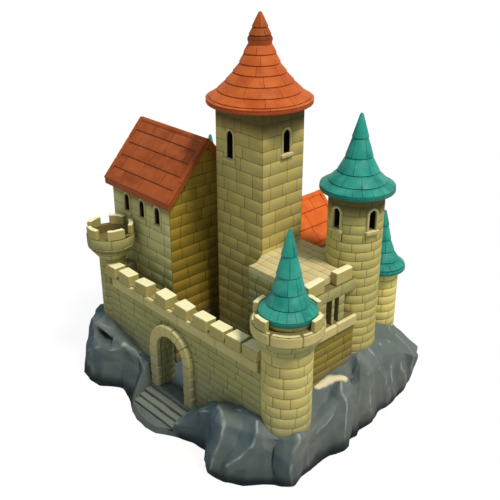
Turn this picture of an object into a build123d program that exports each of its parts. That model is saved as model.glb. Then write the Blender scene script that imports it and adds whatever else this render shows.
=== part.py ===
"""Small walled castle on a rock crag: keep, hall, gallery, back range, curtain walls and towers.

Millimetres, +Z up. The gate front faces -Y and the gallery side faces +X. The origin lies on the
crag's flat underside, under the courtyard.
"""

import os
from math import cos, pi, radians, sin

from build123d import *

os.makedirs("parts", exist_ok=True)

# Levels
court_z = 1500.0
walk_z = 8700.0
cornice_z = 7900.0
seat_clearance = 0.5
cut_overrun = 400.0

# Crag
crag_side_spread = 350.0
crag_end_spread = 2150.0
crag_belly_z = 1300.0
crag_belly_share = 0.35
crag_belly_swell = 1.012
crag_rim_z = 4900.0
crag_foot_shares = [
    (-0.391, -0.517), (-0.336, -0.532), (-0.273, -0.517), (-0.214, -0.473), (-0.168, -0.485),
    (-0.101, -0.517), (-0.053, -0.541), (-0.004, -0.546), (0.046, -0.529), (0.092, -0.502),
    (0.151, -0.478), (0.206, -0.463), (0.239, -0.493), (0.282, -0.524), (0.349, -0.524),
    (0.395, -0.488), (0.441, -0.424), (0.483, -0.366), (0.483, -0.307), (0.479, -0.229),
    (0.479, -0.137), (0.479, -0.068), (0.458, 0.000), (0.462, 0.073), (0.441, 0.146),
    (0.433, 0.254), (0.403, 0.351), (0.382, 0.424), (0.239, 0.424), (0.105, 0.410),
    (-0.029, 0.420), (-0.168, 0.400), (-0.298, 0.405), (-0.416, 0.366), (-0.496, 0.273),
    (-0.508, 0.137), (-0.492, -0.010), (-0.504, -0.156), (-0.483, -0.293), (-0.450, -0.420),
]
crag_brow_shares = [
    (-0.387, -0.459, 0.96), (-0.332, -0.463, 0.90), (-0.269, -0.454, 0.84), (-0.214, -0.434, 0.76),
    (-0.160, -0.429, 0.65), (-0.118, -0.439, 0.59), (-0.055, -0.468, 0.35), (-0.004, -0.468, 0.35),
    (0.046, -0.468, 0.35), (0.105, -0.468, 0.35), (0.164, -0.441, 0.55), (0.227, -0.434, 0.73),
    (0.265, -0.468, 0.76), (0.307, -0.478, 0.80), (0.357, -0.463, 0.82), (0.405, -0.444, 0.82),
    (0.452, -0.415, 0.80), (0.487, -0.368, 0.81), (0.494, -0.307, 0.78), (0.471, -0.224, 0.73),
    (0.460, -0.127, 0.78), (0.464, -0.073, 0.86), (0.435, 0.000, 0.78), (0.454, 0.073, 0.94),
    (0.431, 0.151, 0.96), (0.445, 0.239, 0.92), (0.460, 0.320, 0.70), (0.416, 0.400, 0.65),
    (0.256, 0.410, 0.86), (0.105, 0.385, 0.82), (-0.029, 0.390, 0.88), (-0.168, 0.376, 0.82),
    (-0.294, 0.376, 0.88), (-0.412, 0.341, 0.86), (-0.492, 0.268, 0.86), (-0.496, 0.137, 0.88),
    (-0.475, -0.010, 0.82), (-0.487, -0.156, 0.90), (-0.466, -0.283, 0.86), (-0.437, -0.395, 0.92),
]
crag_top_shares = [
    (-0.357, -0.371, 1.08), (-0.315, -0.371, 0.96), (-0.256, -0.371, 0.88), (-0.206, -0.371, 0.78),
    (-0.155, -0.371, 0.71), (-0.113, -0.371, 0.78), (-0.055, -0.371, 0.35), (-0.004, -0.371, 0.35),
    (0.046, -0.371, 0.35), (0.118, -0.371, 0.41), (0.172, -0.371, 0.67), (0.231, -0.371, 0.80),
    (0.282, -0.371, 0.90), (0.315, -0.371, 0.94), (0.357, -0.371, 0.96), (0.395, -0.380, 0.94),
    (0.424, -0.371, 0.88), (0.454, -0.337, 0.86), (0.458, -0.302, 0.84), (0.366, -0.195, 0.88),
    (0.357, -0.127, 0.92), (0.357, -0.059, 1.00), (0.357, 0.010, 1.08), (0.366, 0.093, 1.22),
    (0.366, 0.156, 1.22), (0.298, 0.249, 1.12), (0.298, 0.322, 1.12), (0.282, 0.351, 1.08),
    (0.231, 0.302, 1.02), (0.105, 0.293, 0.96), (-0.029, 0.293, 1.00), (-0.168, 0.293, 0.98),
    (-0.294, 0.293, 1.00), (-0.408, 0.288, 1.00), (-0.437, 0.234, 1.02), (-0.420, 0.137, 1.02),
    (-0.416, -0.010, 0.98), (-0.416, -0.146, 1.02), (-0.416, -0.244, 1.02), (-0.374, -0.341, 1.06),
]

# Approach steps before the gate
step_count = 3
step_depth = 520.0
step_rise = 220.0
step_joint = 12.0
step_start_y = -6250.0
approach_margin = 60.0

# Front curtain wall and gate
front_y = -5700.0
curtain_wall = 1200.0
front_left_x = -8700.0
right_x = 8500.0
cornice_proud = 280.0
merlon_height = 880.0
merlon_depth = 1000.0
merlon_width = 1560.0
front_merlon_shares = [0.055, 0.157, 0.279, 0.419, 0.547, 0.666, 0.767, 0.860, 0.953]
gate_x = -600.0
gate_width = 3000.0
gate_spring_z = 5000.0
arch_ring = 850.0
arch_proud = 450.0
arch_joint = 14.0
voussoir_count = 9
jamb_block_count = 4

# Keep
keep_left_x = -2400.0
keep_right_x = 2300.0
keep_front_y = 340.0
keep_back_y = 4300.0
keep_wall = 700.0
keep_eave_z = 22300.0
keep_floor_z = 15400.0
floor_thick = 300.0
keep_roof_r = 3700.0
keep_roof_height = 3900.0
keep_collar_r = 860.0
keep_collar_height = 320.0
keep_spire_height = 1750.0
keep_flare_shares = (0.719, 0.269, 0.377, 0.654)

# Keep windows
keep_window_width = 640.0
keep_window_height = 2000.0
keep_front_window_x = -920.0
keep_front_window_z = 18400.0
keep_right_window_y = 2590.0
keep_right_window_z = 19050.0
keep_right_window_height = 1700.0

# Hall
hall_left_x = -10800.0
hall_right_x = -3750.0
hall_front_y = -3100.0
hall_back_y = 3700.0
hall_wall = 700.0
hall_eave_z = 15150.0
hall_ridge_z = 19200.0
hall_roof_thick = 300.0
hall_eave_overhang = 400.0
hall_verge_overhang = 480.0
hall_floor_z = 11800.0
hall_window_width = 600.0
hall_window_height = 1400.0
hall_window_z = 12960.0
hall_window_pitch = 1900.0
hall_window_x = -7100.0

# Window dressings
surround_width = 170.0
surround_proud = 90.0
sill_height = 240.0
sill_proud = 220.0
head_chords = 8

# Gallery range and terrace beside the keep
gallery_left_x = 2900.0
gallery_front_y = -1500.0
gallery_wall = 800.0
gallery_head_z = 10650.0
gallery_sill_z = 11500.0
gallery_merlon_height = 950.0
terrace_z = 12000.0
terrace_thick = 450.0
gallery_parapet = 600.0
gallery_pier_shares = [(0.0, 0.295), (0.398, 0.431), (0.513, 0.602)]
gallery_merlon_shares = [(0.0, 0.270), (0.467, 0.746)]

# Round towers
front_tower_x = 9400.0
front_tower_y = -4300.0
front_tower_r = 1650.0
front_tower_corbel_z = 9900.0
front_tower_corbel_lip = 60.0
front_tower_drum_z = 11000.0
front_tower_sill_z = 11750.0
front_tower_head_r = 2300.0
front_tower_parapet = 350.0
front_tower_merlon_height = 750.0
front_tower_wide_gap = 2700.0
front_tower_wide_turn = -42.0
front_tower_narrow_gap = 1450.0
front_tower_narrow_turn = 48.0
front_tower_gap_count = 2
front_tower_eave_z = 12100.0
front_tower_roof_r = 1840.0
front_tower_roof_height = 5660.0
right_tower_x = 7100.0
right_tower_y = 4600.0
right_tower_r = 1890.0
right_tower_eave_z = 17300.0
right_tower_roof_r = 2550.0
right_tower_roof_height = 5200.0
right_tower_window_width = 560.0
right_tower_window_height = 1450.0
right_tower_window_z = 14900.0
right_tower_floor_z = 13900.0
right_tower_window_angles = (-92.0, -15.0)
rear_tower_x = 6200.0
rear_tower_y = 9200.0
rear_tower_r = 1300.0
rear_tower_eave_z = 9500.0
rear_tower_roof_r = 1800.0
rear_tower_roof_height = 4600.0
far_tower_x = -10800.0
far_tower_y = 6900.0
far_tower_r = 1250.0
far_tower_eave_z = 11700.0
far_tower_roof_r = 1750.0
far_tower_roof_height = 4800.0
tower_wall = 500.0
tower_sides = 24
roof_rim = 260.0
roof_skin = 260.0
roof_tip_r = 70.0
flare_bands = 5
cone_shares = (0.62, 0.20, 0.42, 0.44)
hat_shares = (0.57, 0.22, 0.29, 0.52)

# Corner turret beside the hall
turret_x = -8900.0
turret_r = 1000.0
turret_head_r = 1800.0
turret_corbel_z = 9800.0
turret_drum_z = 10800.0
turret_sill_z = 11750.0
turret_deck_z = 11100.0
turret_parapet = 380.0
turret_merlon_height = 750.0
turret_gap = 760.0
turret_gap_count = 5
turret_turn = 18.0

# Back range and the rear curtain walls
range_left_x = -2600.0
range_right_x = 2200.0
range_wall = 600.0
range_eave_z = 11200.0
range_ridge_z = 13800.0
range_roof_thick = 260.0
range_overhang = 300.0
back_y = 8900.0
back_thick = 1000.0
left_x = -10800.0
rear_merlon_pitch = 2000.0
rear_merlon_width = 1320.0
rear_merlon_depth = 900.0
rear_merlon_height = 720.0

gate_left_x = gate_x - gate_width / 2
gate_right_x = gate_x + gate_width / 2
gate_r = gate_width / 2
front_inner_y = front_y + curtain_wall
right_inner_x = right_x - curtain_wall
keep_x = (keep_left_x + keep_right_x) / 2
keep_y = (keep_front_y + keep_back_y) / 2
turret_y = hall_front_y - turret_head_r - seat_clearance
back_inner_y = back_y - back_thick
castle_left_x = far_tower_x - far_tower_r
castle_right_x = front_tower_x + front_tower_r
castle_back_y = rear_tower_y + rear_tower_r
crag_x = (castle_left_x + castle_right_x) / 2
crag_y = (front_y + castle_back_y) / 2
crag_length = castle_right_x - castle_left_x + crag_side_spread * 2
crag_depth = castle_back_y - front_y + crag_end_spread * 2


def write(piece, name):
    """Label a finished piece and write it as its own file."""
    piece.label = name
    export_step(piece, f"parts/{name}.step")


def block(low_x, high_x, low_y, high_y, low_z, high_z):
    """A plain wall, slab or post between two opposite corners."""
    with BuildPart() as piece:
        with BuildSketch(Plane.XY.offset(low_z)):
            with Locations(((low_x + high_x) / 2, (low_y + high_y) / 2)):
                Rectangle(high_x - low_x, high_y - low_y)
        extrude(amount=high_z - low_z)
    return piece.part


def post(centre_x, centre_y, radius, low_z, high_z):
    """A many-sided post, used as a round floor and to cut a wall where it meets a tower."""
    with BuildPart() as piece:
        with BuildSketch(Plane.XY.offset(low_z)):
            with Locations((centre_x, centre_y)):
                RegularPolygon(radius, tower_sides)
        extrude(amount=high_z - low_z)
    return piece.part


def arch_outline(width, height):
    """Points round a round-headed opening on its sill, the head in short chords."""
    half = width / 2
    spring = height - half
    turns = [pi * chord / head_chords for chord in range(head_chords + 1)]
    return [(-half, 0), (half, 0)] + [(half * cos(turn), spring + half * sin(turn)) for turn in turns]


def arched_cutter(plane, width, height, depth):
    """A round-headed prism on the plane, its sill at the plane's origin, both ways through."""
    with BuildPart() as piece:
        with BuildSketch(plane):
            with BuildLine():
                Polyline(*arch_outline(width, height), close=True)
            make_face()
        extrude(amount=depth, both=True)
    return piece.part


def tube(centre_x, centre_y, radius, wall, low_z, high_z):
    """A round tower's hollow shaft."""
    with BuildPart() as piece:
        with BuildSketch(Plane.XY.offset(low_z)):
            with Locations((centre_x, centre_y)):
                RegularPolygon(radius, tower_sides)
                RegularPolygon(radius - wall, tower_sides, mode=Mode.SUBTRACT)
        extrude(amount=high_z - low_z)
    return piece.part


def flared_roof(centre_x, centre_y, eave_z, rim_r, height, seat_r, top_r, flare_shares):
    """A witch-hat roof of flat gores: upright rim, bands that steepen up to a knee, straight top, hollow."""
    rim_z = eave_z + roof_rim
    knee_r = rim_r * flare_shares[2]
    knee_z = eave_z + height * flare_shares[3]
    pull_r = rim_r * flare_shares[0] * 2 - (rim_r + knee_r) / 2
    pull_z = (eave_z + height * flare_shares[1]) * 2 - (rim_z + knee_z) / 2
    levels = [(rim_r, eave_z)]
    for band in range(flare_bands + 1):
        rise = band / flare_bands
        shares = ((1 - rise) ** 2, 2 * rise * (1 - rise), rise**2)
        radius = rim_r * shares[0] + pull_r * shares[1] + knee_r * shares[2]
        levels.append((radius, rim_z * shares[0] + pull_z * shares[1] + knee_z * shares[2]))
    levels.append((top_r, eave_z + height))
    with BuildPart() as piece:
        for radius, level in levels:
            with BuildSketch(Plane.XY.offset(level)):
                with Locations((centre_x, centre_y)):
                    RegularPolygon(radius, tower_sides)
        loft(ruled=True)
        for radius, level in ((seat_r, eave_z), (roof_tip_r, knee_z - roof_skin)):
            with BuildSketch(Plane.XY.offset(level)):
                with Locations((centre_x, centre_y)):
                    RegularPolygon(radius, tower_sides)
        loft(ruled=True, mode=Mode.SUBTRACT)
    return piece.part


def crenel_ring(centre_x, centre_y, outer_r, wall, low_z, height, gap, gap_count, turn):
    """Merlons standing round a parapet: a ring cut through by evenly spaced gaps."""
    with BuildPart() as piece:
        with BuildSketch(Plane.XY.offset(low_z)):
            with Locations((centre_x, centre_y)):
                RegularPolygon(outer_r, tower_sides)
                RegularPolygon(outer_r - wall, tower_sides, mode=Mode.SUBTRACT)
            with Locations((centre_x, centre_y)):
                with PolarLocations(outer_r, gap_count, start_angle=turn):
                    Rectangle(outer_r * 2, gap, mode=Mode.SUBTRACT)
        extrude(amount=height)
    return piece.part


def crag_point(x_share, y_share, z):
    """A point on the crag, from shares of its length and depth about its middle, at a height."""
    return Vector(crag_x + crag_length * x_share, crag_y + crag_depth * y_share, z)


def facet(*corners):
    """A flat face between corner points."""
    return Face(Wire.make_polygon(corners))


# Crag: a faceted mass, flat underneath, level inside the walls and banked up outside them
crag_feet = [crag_point(x, y, 0) for x, y in crag_foot_shares]
crag_brows = [crag_point(x, y, crag_rim_z * height) for x, y, height in crag_brow_shares]
crag_tops = [crag_point(x, y, crag_rim_z * height) for x, y, height in crag_top_shares]
crag_bellies = [
    crag_point(
        (foot_x + (brow_x - foot_x) * crag_belly_share) * crag_belly_swell,
        (foot_y + (brow_y - foot_y) * crag_belly_share) * crag_belly_swell,
        crag_belly_z,
    )
    for (foot_x, foot_y), (brow_x, brow_y, _) in zip(crag_foot_shares, crag_brow_shares)
]
crag_peak = crag_point(0, 0, crag_rim_z)
crag_facets = [facet(*crag_feet)]
for lower, upper in ((crag_feet, crag_bellies), (crag_bellies, crag_brows), (crag_brows, crag_tops)):
    for near in range(len(lower)):
        far = (near + 1) % len(lower)
        crag_facets.append(facet(lower[near], lower[far], upper[far]))
        crag_facets.append(facet(lower[near], upper[far], upper[near]))
for near in range(len(crag_tops)):
    crag_facets.append(facet(crag_tops[near], crag_tops[(near + 1) % len(crag_tops)], crag_peak))
with BuildPart() as crag:
    add(Solid(Shell(crag_facets)))

# Ground that the walls and towers take up inside the crag
with BuildPart() as footprint:
    with BuildSketch(Plane.XY.offset(court_z)):
        with BuildLine():
            Polyline(
                (left_x, hall_front_y),
                (turret_x - turret_r, hall_front_y),
                (turret_x - turret_r, turret_y),
                (turret_x, front_y),
                (front_tower_x, front_y),
                (front_tower_x, front_tower_y),
                (right_x, front_tower_y),
                (right_x, right_tower_y),
                (rear_tower_x + back_thick / 2, right_tower_y),
                (rear_tower_x + back_thick / 2, back_y),
                (left_x, back_y),
                close=True,
            )
        make_face()
        for tower_x, tower_y, tower_r in (
            (front_tower_x, front_tower_y, front_tower_r),
            (right_tower_x, right_tower_y, right_tower_r),
            (rear_tower_x, rear_tower_y, rear_tower_r),
            (far_tower_x, far_tower_y, far_tower_r),
            (turret_x, turret_y, turret_r),
        ):
            with Locations((tower_x, tower_y)):
                RegularPolygon(tower_r + seat_clearance, tower_sides)
    extrude(amount=crag_rim_z)

approach_width = gate_width + (arch_ring + approach_margin) * 2
approach_left_x = gate_x - approach_width / 2
approach_right_x = gate_x + approach_width / 2
step_base_z = court_z - step_rise * (step_count + 1)
approach = block(
    approach_left_x, approach_right_x, -crag_depth, front_y, court_z, court_z + crag_rim_z
)
step_pit = block(
    approach_left_x, approach_right_x, -crag_depth, step_start_y, step_base_z, court_z + step_rise
)
rock_low = split(crag.part, bisect_by=Plane.XY.offset(court_z), keep=Keep.BOTTOM)
rock_high = split(crag.part, bisect_by=Plane.XY.offset(court_z), keep=Keep.TOP)
write(rock_low - step_pit, "crag_base")

banks = rock_high - footprint.part - approach
bank_front = split(banks, bisect_by=Plane.XZ.offset(-front_y), keep=Keep.TOP)
bank_rest = split(banks, bisect_by=Plane.XZ.offset(-front_y), keep=Keep.BOTTOM)
write(split(bank_front, bisect_by=Plane.YZ.offset(gate_x), keep=Keep.BOTTOM), "crag_front_left")
write(split(bank_front, bisect_by=Plane.YZ.offset(gate_x), keep=Keep.TOP), "crag_front_right")
bank_back = split(bank_rest, bisect_by=Plane.XZ.offset(-back_y), keep=Keep.BOTTOM)
bank_sides = split(bank_rest, bisect_by=Plane.XZ.offset(-back_y), keep=Keep.TOP)
write(bank_back, "crag_back")
write(split(bank_sides, bisect_by=Plane.YZ.offset(keep_x), keep=Keep.BOTTOM), "crag_left")
write(split(bank_sides, bisect_by=Plane.YZ.offset(keep_x), keep=Keep.TOP), "crag_right")

# Approach steps: broad stone treads laid on the rock before the gate
with BuildPart() as steps:
    for tread in range(step_count):
        tread_y = step_start_y - step_depth * tread
        tread_height = step_rise * (step_count - tread)
        with BuildSketch(Plane.XY.offset(step_base_z)):
            with Locations((gate_x, tread_y - step_depth / 2)):
                Rectangle(approach_width - step_joint * 2, step_depth - step_joint)
        extrude(amount=tread_height)
write(steps.part, "approach_steps")

# Posts that cut walls where they meet the round towers
sky_z = keep_eave_z
front_tower_post = post(
    front_tower_x, front_tower_y, front_tower_r + seat_clearance, court_z, sky_z
)
right_tower_post = post(
    right_tower_x, right_tower_y, right_tower_r + seat_clearance, court_z, sky_z
)
rear_tower_post = post(rear_tower_x, rear_tower_y, rear_tower_r + seat_clearance, court_z, sky_z)
far_tower_post = post(far_tower_x, far_tower_y, far_tower_r + seat_clearance, court_z, sky_z)
turret_post = post(turret_x, turret_y, turret_r + seat_clearance, court_z, turret_corbel_z)

# Front curtain wall, split beside and over the gate
wall_left = block(front_left_x, gate_left_x, front_y, front_inner_y, court_z, walk_z)
write(wall_left - turret_post, "front_wall_left")
wall_right = block(gate_right_x, right_x, front_y, front_inner_y, court_z, walk_z)
write(wall_right - front_tower_post, "front_wall_right")
with BuildPart() as wall_over_gate:
    with BuildSketch(Plane.XZ.offset(-front_inner_y)):
        with Locations((gate_x, (gate_spring_z + walk_z) / 2)):
            Rectangle(gate_width, walk_z - gate_spring_z)
        with Locations((gate_x, gate_spring_z)):
            Circle(gate_r, mode=Mode.SUBTRACT)
    extrude(amount=curtain_wall)
write(wall_over_gate.part, "front_wall_over_gate")

# Gate arch: jamb blocks and wedge voussoirs standing proud of the wall, with open joints
arch_out_r = gate_r + arch_ring
jamb_height = gate_spring_z - court_z
jamb_block = jamb_height / jamb_block_count
with BuildPart() as gate_arch:
    with BuildSketch(Plane.XZ.offset(-front_y)):
        with Locations((gate_x, gate_spring_z)):
            Circle(arch_out_r)
            Circle(gate_r, mode=Mode.SUBTRACT)
        with Locations((gate_x, gate_spring_z - arch_out_r / 2)):
            Rectangle(arch_out_r * 2, arch_out_r, mode=Mode.SUBTRACT)
        for joint in range(1, voussoir_count):
            turn = 180 * joint / voussoir_count
            with Locations(Location((gate_x, gate_spring_z), turn)):
                with Locations((arch_out_r / 2, 0)):
                    Rectangle(arch_out_r * 2, arch_joint, mode=Mode.SUBTRACT)
        for side in (-1, 1):
            for course in range(jamb_block_count):
                middle = court_z + jamb_block * course + jamb_block / 2
                with Locations((gate_x + side * (gate_r + arch_ring / 2), middle - arch_joint / 2)):
                    Rectangle(arch_ring, jamb_block - arch_joint)
    extrude(amount=arch_proud)
write(gate_arch.part, "gate_arch")

# Cornice band and merlons of the front wall
cornice_left_x = turret_x + turret_r + cornice_proud
front_band = block(cornice_left_x, right_x, front_y - cornice_proud, front_y, cornice_z, walk_z)
with BuildPart() as front_merlons:
    with BuildSketch(Plane.XY.offset(walk_z)):
        for share in front_merlon_shares:
            merlon_x = front_left_x + share * (right_x - front_left_x)
            with Locations((merlon_x, front_y - cornice_proud + merlon_depth / 2)):
                Rectangle(merlon_width, merlon_depth)
    extrude(amount=merlon_height)
write(front_merlons.part - front_tower_post - turret_post, "front_merlons")

# Right curtain wall with its cornice, between the front tower and the right tower
right_block = block(right_inner_x, right_x, front_inner_y, right_tower_y, court_z, walk_z)
write(right_block - front_tower_post - right_tower_post, "right_wall")
right_band = block(
    right_x, right_x + cornice_proud, front_tower_y, right_tower_y, cornice_z, walk_z
)
right_band = right_band - front_tower_post - right_tower_post
write((front_band - front_tower_post) + right_band, "curtain_cornices")



def gallery_places(shares):
    """Where pieces start and end along the gallery, from shares of its length."""
    length = right_tower_y - gallery_front_y
    return [(gallery_front_y + length * low, gallery_front_y + length * high) for low, high in shares]


# Gallery storey on the right wall: piers between open bays, a parapet over them and its merlons
with BuildPart() as gallery_piers:
    with BuildSketch(Plane.XY.offset(walk_z)):
        for low_y, high_y in gallery_places(gallery_pier_shares):
            with Locations((right_x - gallery_parapet / 2, (low_y + high_y) / 2)):
                Rectangle(gallery_parapet, high_y - low_y)
    extrude(amount=gallery_head_z - walk_z)
write(gallery_piers.part, "gallery_piers")
parapet_left_x = right_x - gallery_parapet
parapet_beam = block(
    parapet_left_x, right_x, gallery_front_y, right_tower_y, gallery_head_z, gallery_sill_z
)
write(parapet_beam - right_tower_post, "gallery_parapet")
with BuildPart() as gallery_merlons:
    with BuildSketch(Plane.XY.offset(gallery_sill_z)):
        for low_y, high_y in gallery_places(gallery_merlon_shares):
            with Locations((right_x - gallery_parapet / 2, (low_y + high_y) / 2)):
                Rectangle(gallery_parapet, high_y - low_y)
    extrude(amount=gallery_merlon_height)
write(gallery_merlons.part - right_tower_post, "gallery_merlons")

# Gallery walls on the court side, its floor and the terrace that roofs it
terrace_low_z = terrace_z - terrace_thick
gallery_inner_y = gallery_front_y + gallery_wall
gallery_back_inner_y = keep_back_y - gallery_wall
gallery_front = block(
    gallery_left_x, right_inner_x, gallery_front_y, gallery_inner_y, court_z, terrace_low_z
)
write(gallery_front, "gallery_front_wall")
with BuildPart() as gallery_side:
    with BuildSketch(Plane.XY.offset(court_z)):
        with BuildLine():
            Polyline(
                (gallery_left_x, gallery_inner_y),
                (gallery_left_x + gallery_wall, gallery_inner_y),
                (keep_right_x + gallery_wall, keep_front_y),
                (keep_right_x + gallery_wall, keep_front_y + gallery_wall),
                (keep_right_x, keep_front_y + gallery_wall),
                (keep_right_x, keep_front_y),
                close=True,
            )
        make_face()
    extrude(amount=terrace_low_z - court_z)
write(gallery_side.part, "gallery_side_wall")
gallery_back = block(
    keep_right_x, right_tower_x, gallery_back_inner_y, keep_back_y, court_z, terrace_low_z
)
write(gallery_back - right_tower_post, "gallery_back_wall")
with BuildPart() as gallery_floor:
    with BuildSketch(Plane.XY.offset(walk_z - floor_thick)):
        with BuildLine():
            Polyline(
                (gallery_left_x + gallery_wall, gallery_inner_y),
                (right_inner_x, gallery_inner_y),
                (right_inner_x, gallery_back_inner_y),
                (keep_right_x, gallery_back_inner_y),
                (keep_right_x, keep_front_y + gallery_wall),
                (keep_right_x + gallery_wall, keep_front_y + gallery_wall),
                (keep_right_x + gallery_wall, keep_front_y),
                close=True,
            )
        make_face()
    extrude(amount=floor_thick)
write(gallery_floor.part - right_tower_post, "gallery_floor")
with BuildPart() as terrace:
    with BuildSketch(Plane.XY.offset(terrace_low_z)):
        with BuildLine():
            Polyline(
                (gallery_left_x, gallery_front_y),
                (parapet_left_x, gallery_front_y),
                (parapet_left_x, keep_back_y),
                (keep_right_x, keep_back_y),
                (keep_right_x, keep_front_y),
                (gallery_left_x, gallery_inner_y),
                close=True,
            )
        make_face()
    extrude(amount=terrace_thick)
write(terrace.part - right_tower_post, "terrace")

# Keep: four walls, an upper floor under the windows, and the tall flared roof with its cap
keep_in_left_x = keep_left_x + keep_wall
keep_in_right_x = keep_right_x - keep_wall
keep_in_front_y = keep_front_y + keep_wall
keep_in_back_y = keep_back_y - keep_wall
keep_front_plane = Plane(
    origin=(keep_front_window_x, keep_front_y, keep_front_window_z), x_dir=(1, 0, 0), z_dir=(0, -1, 0)
)
keep_right_plane = Plane(
    origin=(keep_right_x, keep_right_window_y, keep_right_window_z), x_dir=(0, 1, 0), z_dir=(1, 0, 0)
)
keep_cut = keep_wall + cut_overrun
keep_front = block(keep_left_x, keep_right_x, keep_front_y, keep_in_front_y, court_z, keep_eave_z)
write(
    keep_front - arched_cutter(keep_front_plane, keep_window_width, keep_window_height, keep_cut),
    "keep_front_wall",
)
keep_right = block(keep_in_right_x, keep_right_x, keep_in_front_y, keep_in_back_y, court_z, keep_eave_z)
write(
    keep_right - arched_cutter(keep_right_plane, keep_window_width, keep_right_window_height, keep_cut),
    "keep_right_wall",
)
write(
    block(keep_left_x, keep_right_x, keep_in_back_y, keep_back_y, court_z, keep_eave_z),
    "keep_back_wall",
)
write(
    block(keep_left_x, keep_in_left_x, keep_in_front_y, keep_in_back_y, court_z, keep_eave_z),
    "keep_left_wall",
)
write(
    block(
        keep_in_left_x, keep_in_right_x, keep_in_front_y, keep_in_back_y,
        keep_floor_z - floor_thick, keep_floor_z,
    ),
    "keep_floor",
)
keep_seat_r = keep_y - keep_in_front_y
keep_top_r = keep_collar_r - roof_tip_r
write(
    flared_roof(
        keep_x, keep_y, keep_eave_z, keep_roof_r, keep_roof_height,
        keep_seat_r, keep_top_r, keep_flare_shares,
    ),
    "keep_roof",
)
cap_z = keep_eave_z + keep_roof_height
collar_top_z = cap_z + keep_collar_height
with BuildPart() as keep_cap:
    for radius, level in (
        (keep_top_r, cap_z),
        (keep_collar_r, collar_top_z),
        (keep_top_r, collar_top_z + roof_tip_r),
        (roof_tip_r, collar_top_z + keep_spire_height),
    ):
        with BuildSketch(Plane.XY.offset(level)):
            with Locations((keep_x, keep_y)):
                RegularPolygon(radius, tower_sides)
    loft(ruled=True)
write(keep_cap.part, "keep_roof_cap")

# Hall: two gables, two long walls, an upper floor, and one steep gabled roof
hall_ridge_y = (hall_front_y + hall_back_y) / 2
hall_half = (hall_back_y - hall_front_y) / 2
hall_pitch = (hall_ridge_z - hall_eave_z) / (hall_half + hall_eave_overhang)
hall_roof_drop = hall_roof_thick * (1 + hall_pitch**2) ** 0.5
hall_plate_z = hall_ridge_z - hall_roof_drop - hall_pitch * hall_half
hall_inner_plate_z = hall_plate_z + hall_pitch * hall_wall
hall_in_left_x = hall_left_x + hall_wall
hall_in_right_x = hall_right_x - hall_wall


def hall_section(low_x, high_x, points):
    """A prism along X between two places, from its outline in Y and Z."""
    with BuildPart() as piece:
        with BuildSketch(Plane.YZ.offset(low_x)):
            with BuildLine():
                Polyline(*points, close=True)
            make_face()
        extrude(amount=high_x - low_x)
    return piece.part


gable_points = [
    (hall_front_y, court_z),
    (hall_back_y, court_z),
    (hall_back_y, hall_plate_z),
    (hall_ridge_y, hall_ridge_z - hall_roof_drop),
    (hall_front_y, hall_plate_z),
]
left_gable = hall_section(hall_left_x, hall_in_left_x, gable_points)
right_gable = hall_section(hall_in_right_x, hall_right_x, gable_points)
write(left_gable + right_gable, "hall_gables")
hall_in_front_y = hall_front_y + hall_wall
write(
    block(hall_in_left_x, hall_in_right_x, hall_front_y, hall_in_front_y, court_z, hall_floor_z),
    "hall_front_wall",
)
hall_front_points = [
    (hall_front_y, hall_floor_z),
    (hall_in_front_y, hall_floor_z),
    (hall_in_front_y, hall_inner_plate_z),
    (hall_front_y, hall_plate_z),
]
hall_front = hall_section(hall_in_left_x, hall_in_right_x, hall_front_points)
hall_window_planes = [
    Plane(
        origin=(hall_window_x + hall_window_pitch * place, hall_front_y, hall_window_z),
        x_dir=(1, 0, 0),
        z_dir=(0, -1, 0),
    )
    for place in (-1, 0, 1)
]
for window_plane in hall_window_planes:
    hall_front -= arched_cutter(
        window_plane, hall_window_width, hall_window_height, hall_wall + cut_overrun
    )
write(hall_front, "hall_window_wall")
hall_back_points = [
    (hall_back_y, court_z),
    (hall_back_y - hall_wall, court_z),
    (hall_back_y - hall_wall, hall_inner_plate_z),
    (hall_back_y, hall_plate_z),
]
write(hall_section(hall_in_left_x, hall_in_right_x, hall_back_points), "hall_back_wall")
write(
    block(
        hall_in_left_x, hall_in_right_x, hall_in_front_y, hall_back_y - hall_wall,
        hall_floor_z - floor_thick, hall_floor_z,
    ),
    "hall_floor",
)
hall_eave_front_y = hall_front_y - hall_eave_overhang
hall_eave_back_y = hall_back_y + hall_eave_overhang
hall_roof_points = [
    (hall_eave_front_y, hall_eave_z),
    (hall_ridge_y, hall_ridge_z),
    (hall_eave_back_y, hall_eave_z),
    (hall_eave_back_y, hall_eave_z - hall_roof_drop),
    (hall_ridge_y, hall_ridge_z - hall_roof_drop),
    (hall_eave_front_y, hall_eave_z - hall_roof_drop),
]
write(
    hall_section(hall_left_x - hall_verge_overhang, hall_right_x + hall_verge_overhang, hall_roof_points),
    "hall_roof",
)

# Front tower: shaft, a corbelled crown round its head, four merlons on it and the cone
write(
    tube(front_tower_x, front_tower_y, front_tower_r, tower_wall, court_z, front_tower_eave_z),
    "front_tower_shaft",
)
with BuildPart() as front_tower_crown:
    for radius, level in (
        (front_tower_r + front_tower_corbel_lip, front_tower_corbel_z),
        (front_tower_head_r, front_tower_drum_z),
        (front_tower_head_r, front_tower_sill_z),
    ):
        with BuildSketch(Plane.XY.offset(level)):
            with Locations((front_tower_x, front_tower_y)):
                RegularPolygon(radius, tower_sides)
    loft(ruled=True)
write(front_tower_crown.part - front_tower_post, "front_tower_band")
wide_gaps = crenel_ring(
    front_tower_x, front_tower_y, front_tower_head_r, front_tower_parapet, front_tower_sill_z,
    front_tower_merlon_height, front_tower_wide_gap, front_tower_gap_count, front_tower_wide_turn,
)
narrow_gaps = crenel_ring(
    front_tower_x, front_tower_y, front_tower_head_r, front_tower_parapet, front_tower_sill_z,
    front_tower_merlon_height, front_tower_narrow_gap, front_tower_gap_count, front_tower_narrow_turn,
)
write(wide_gaps & narrow_gaps, "front_tower_merlons")
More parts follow.
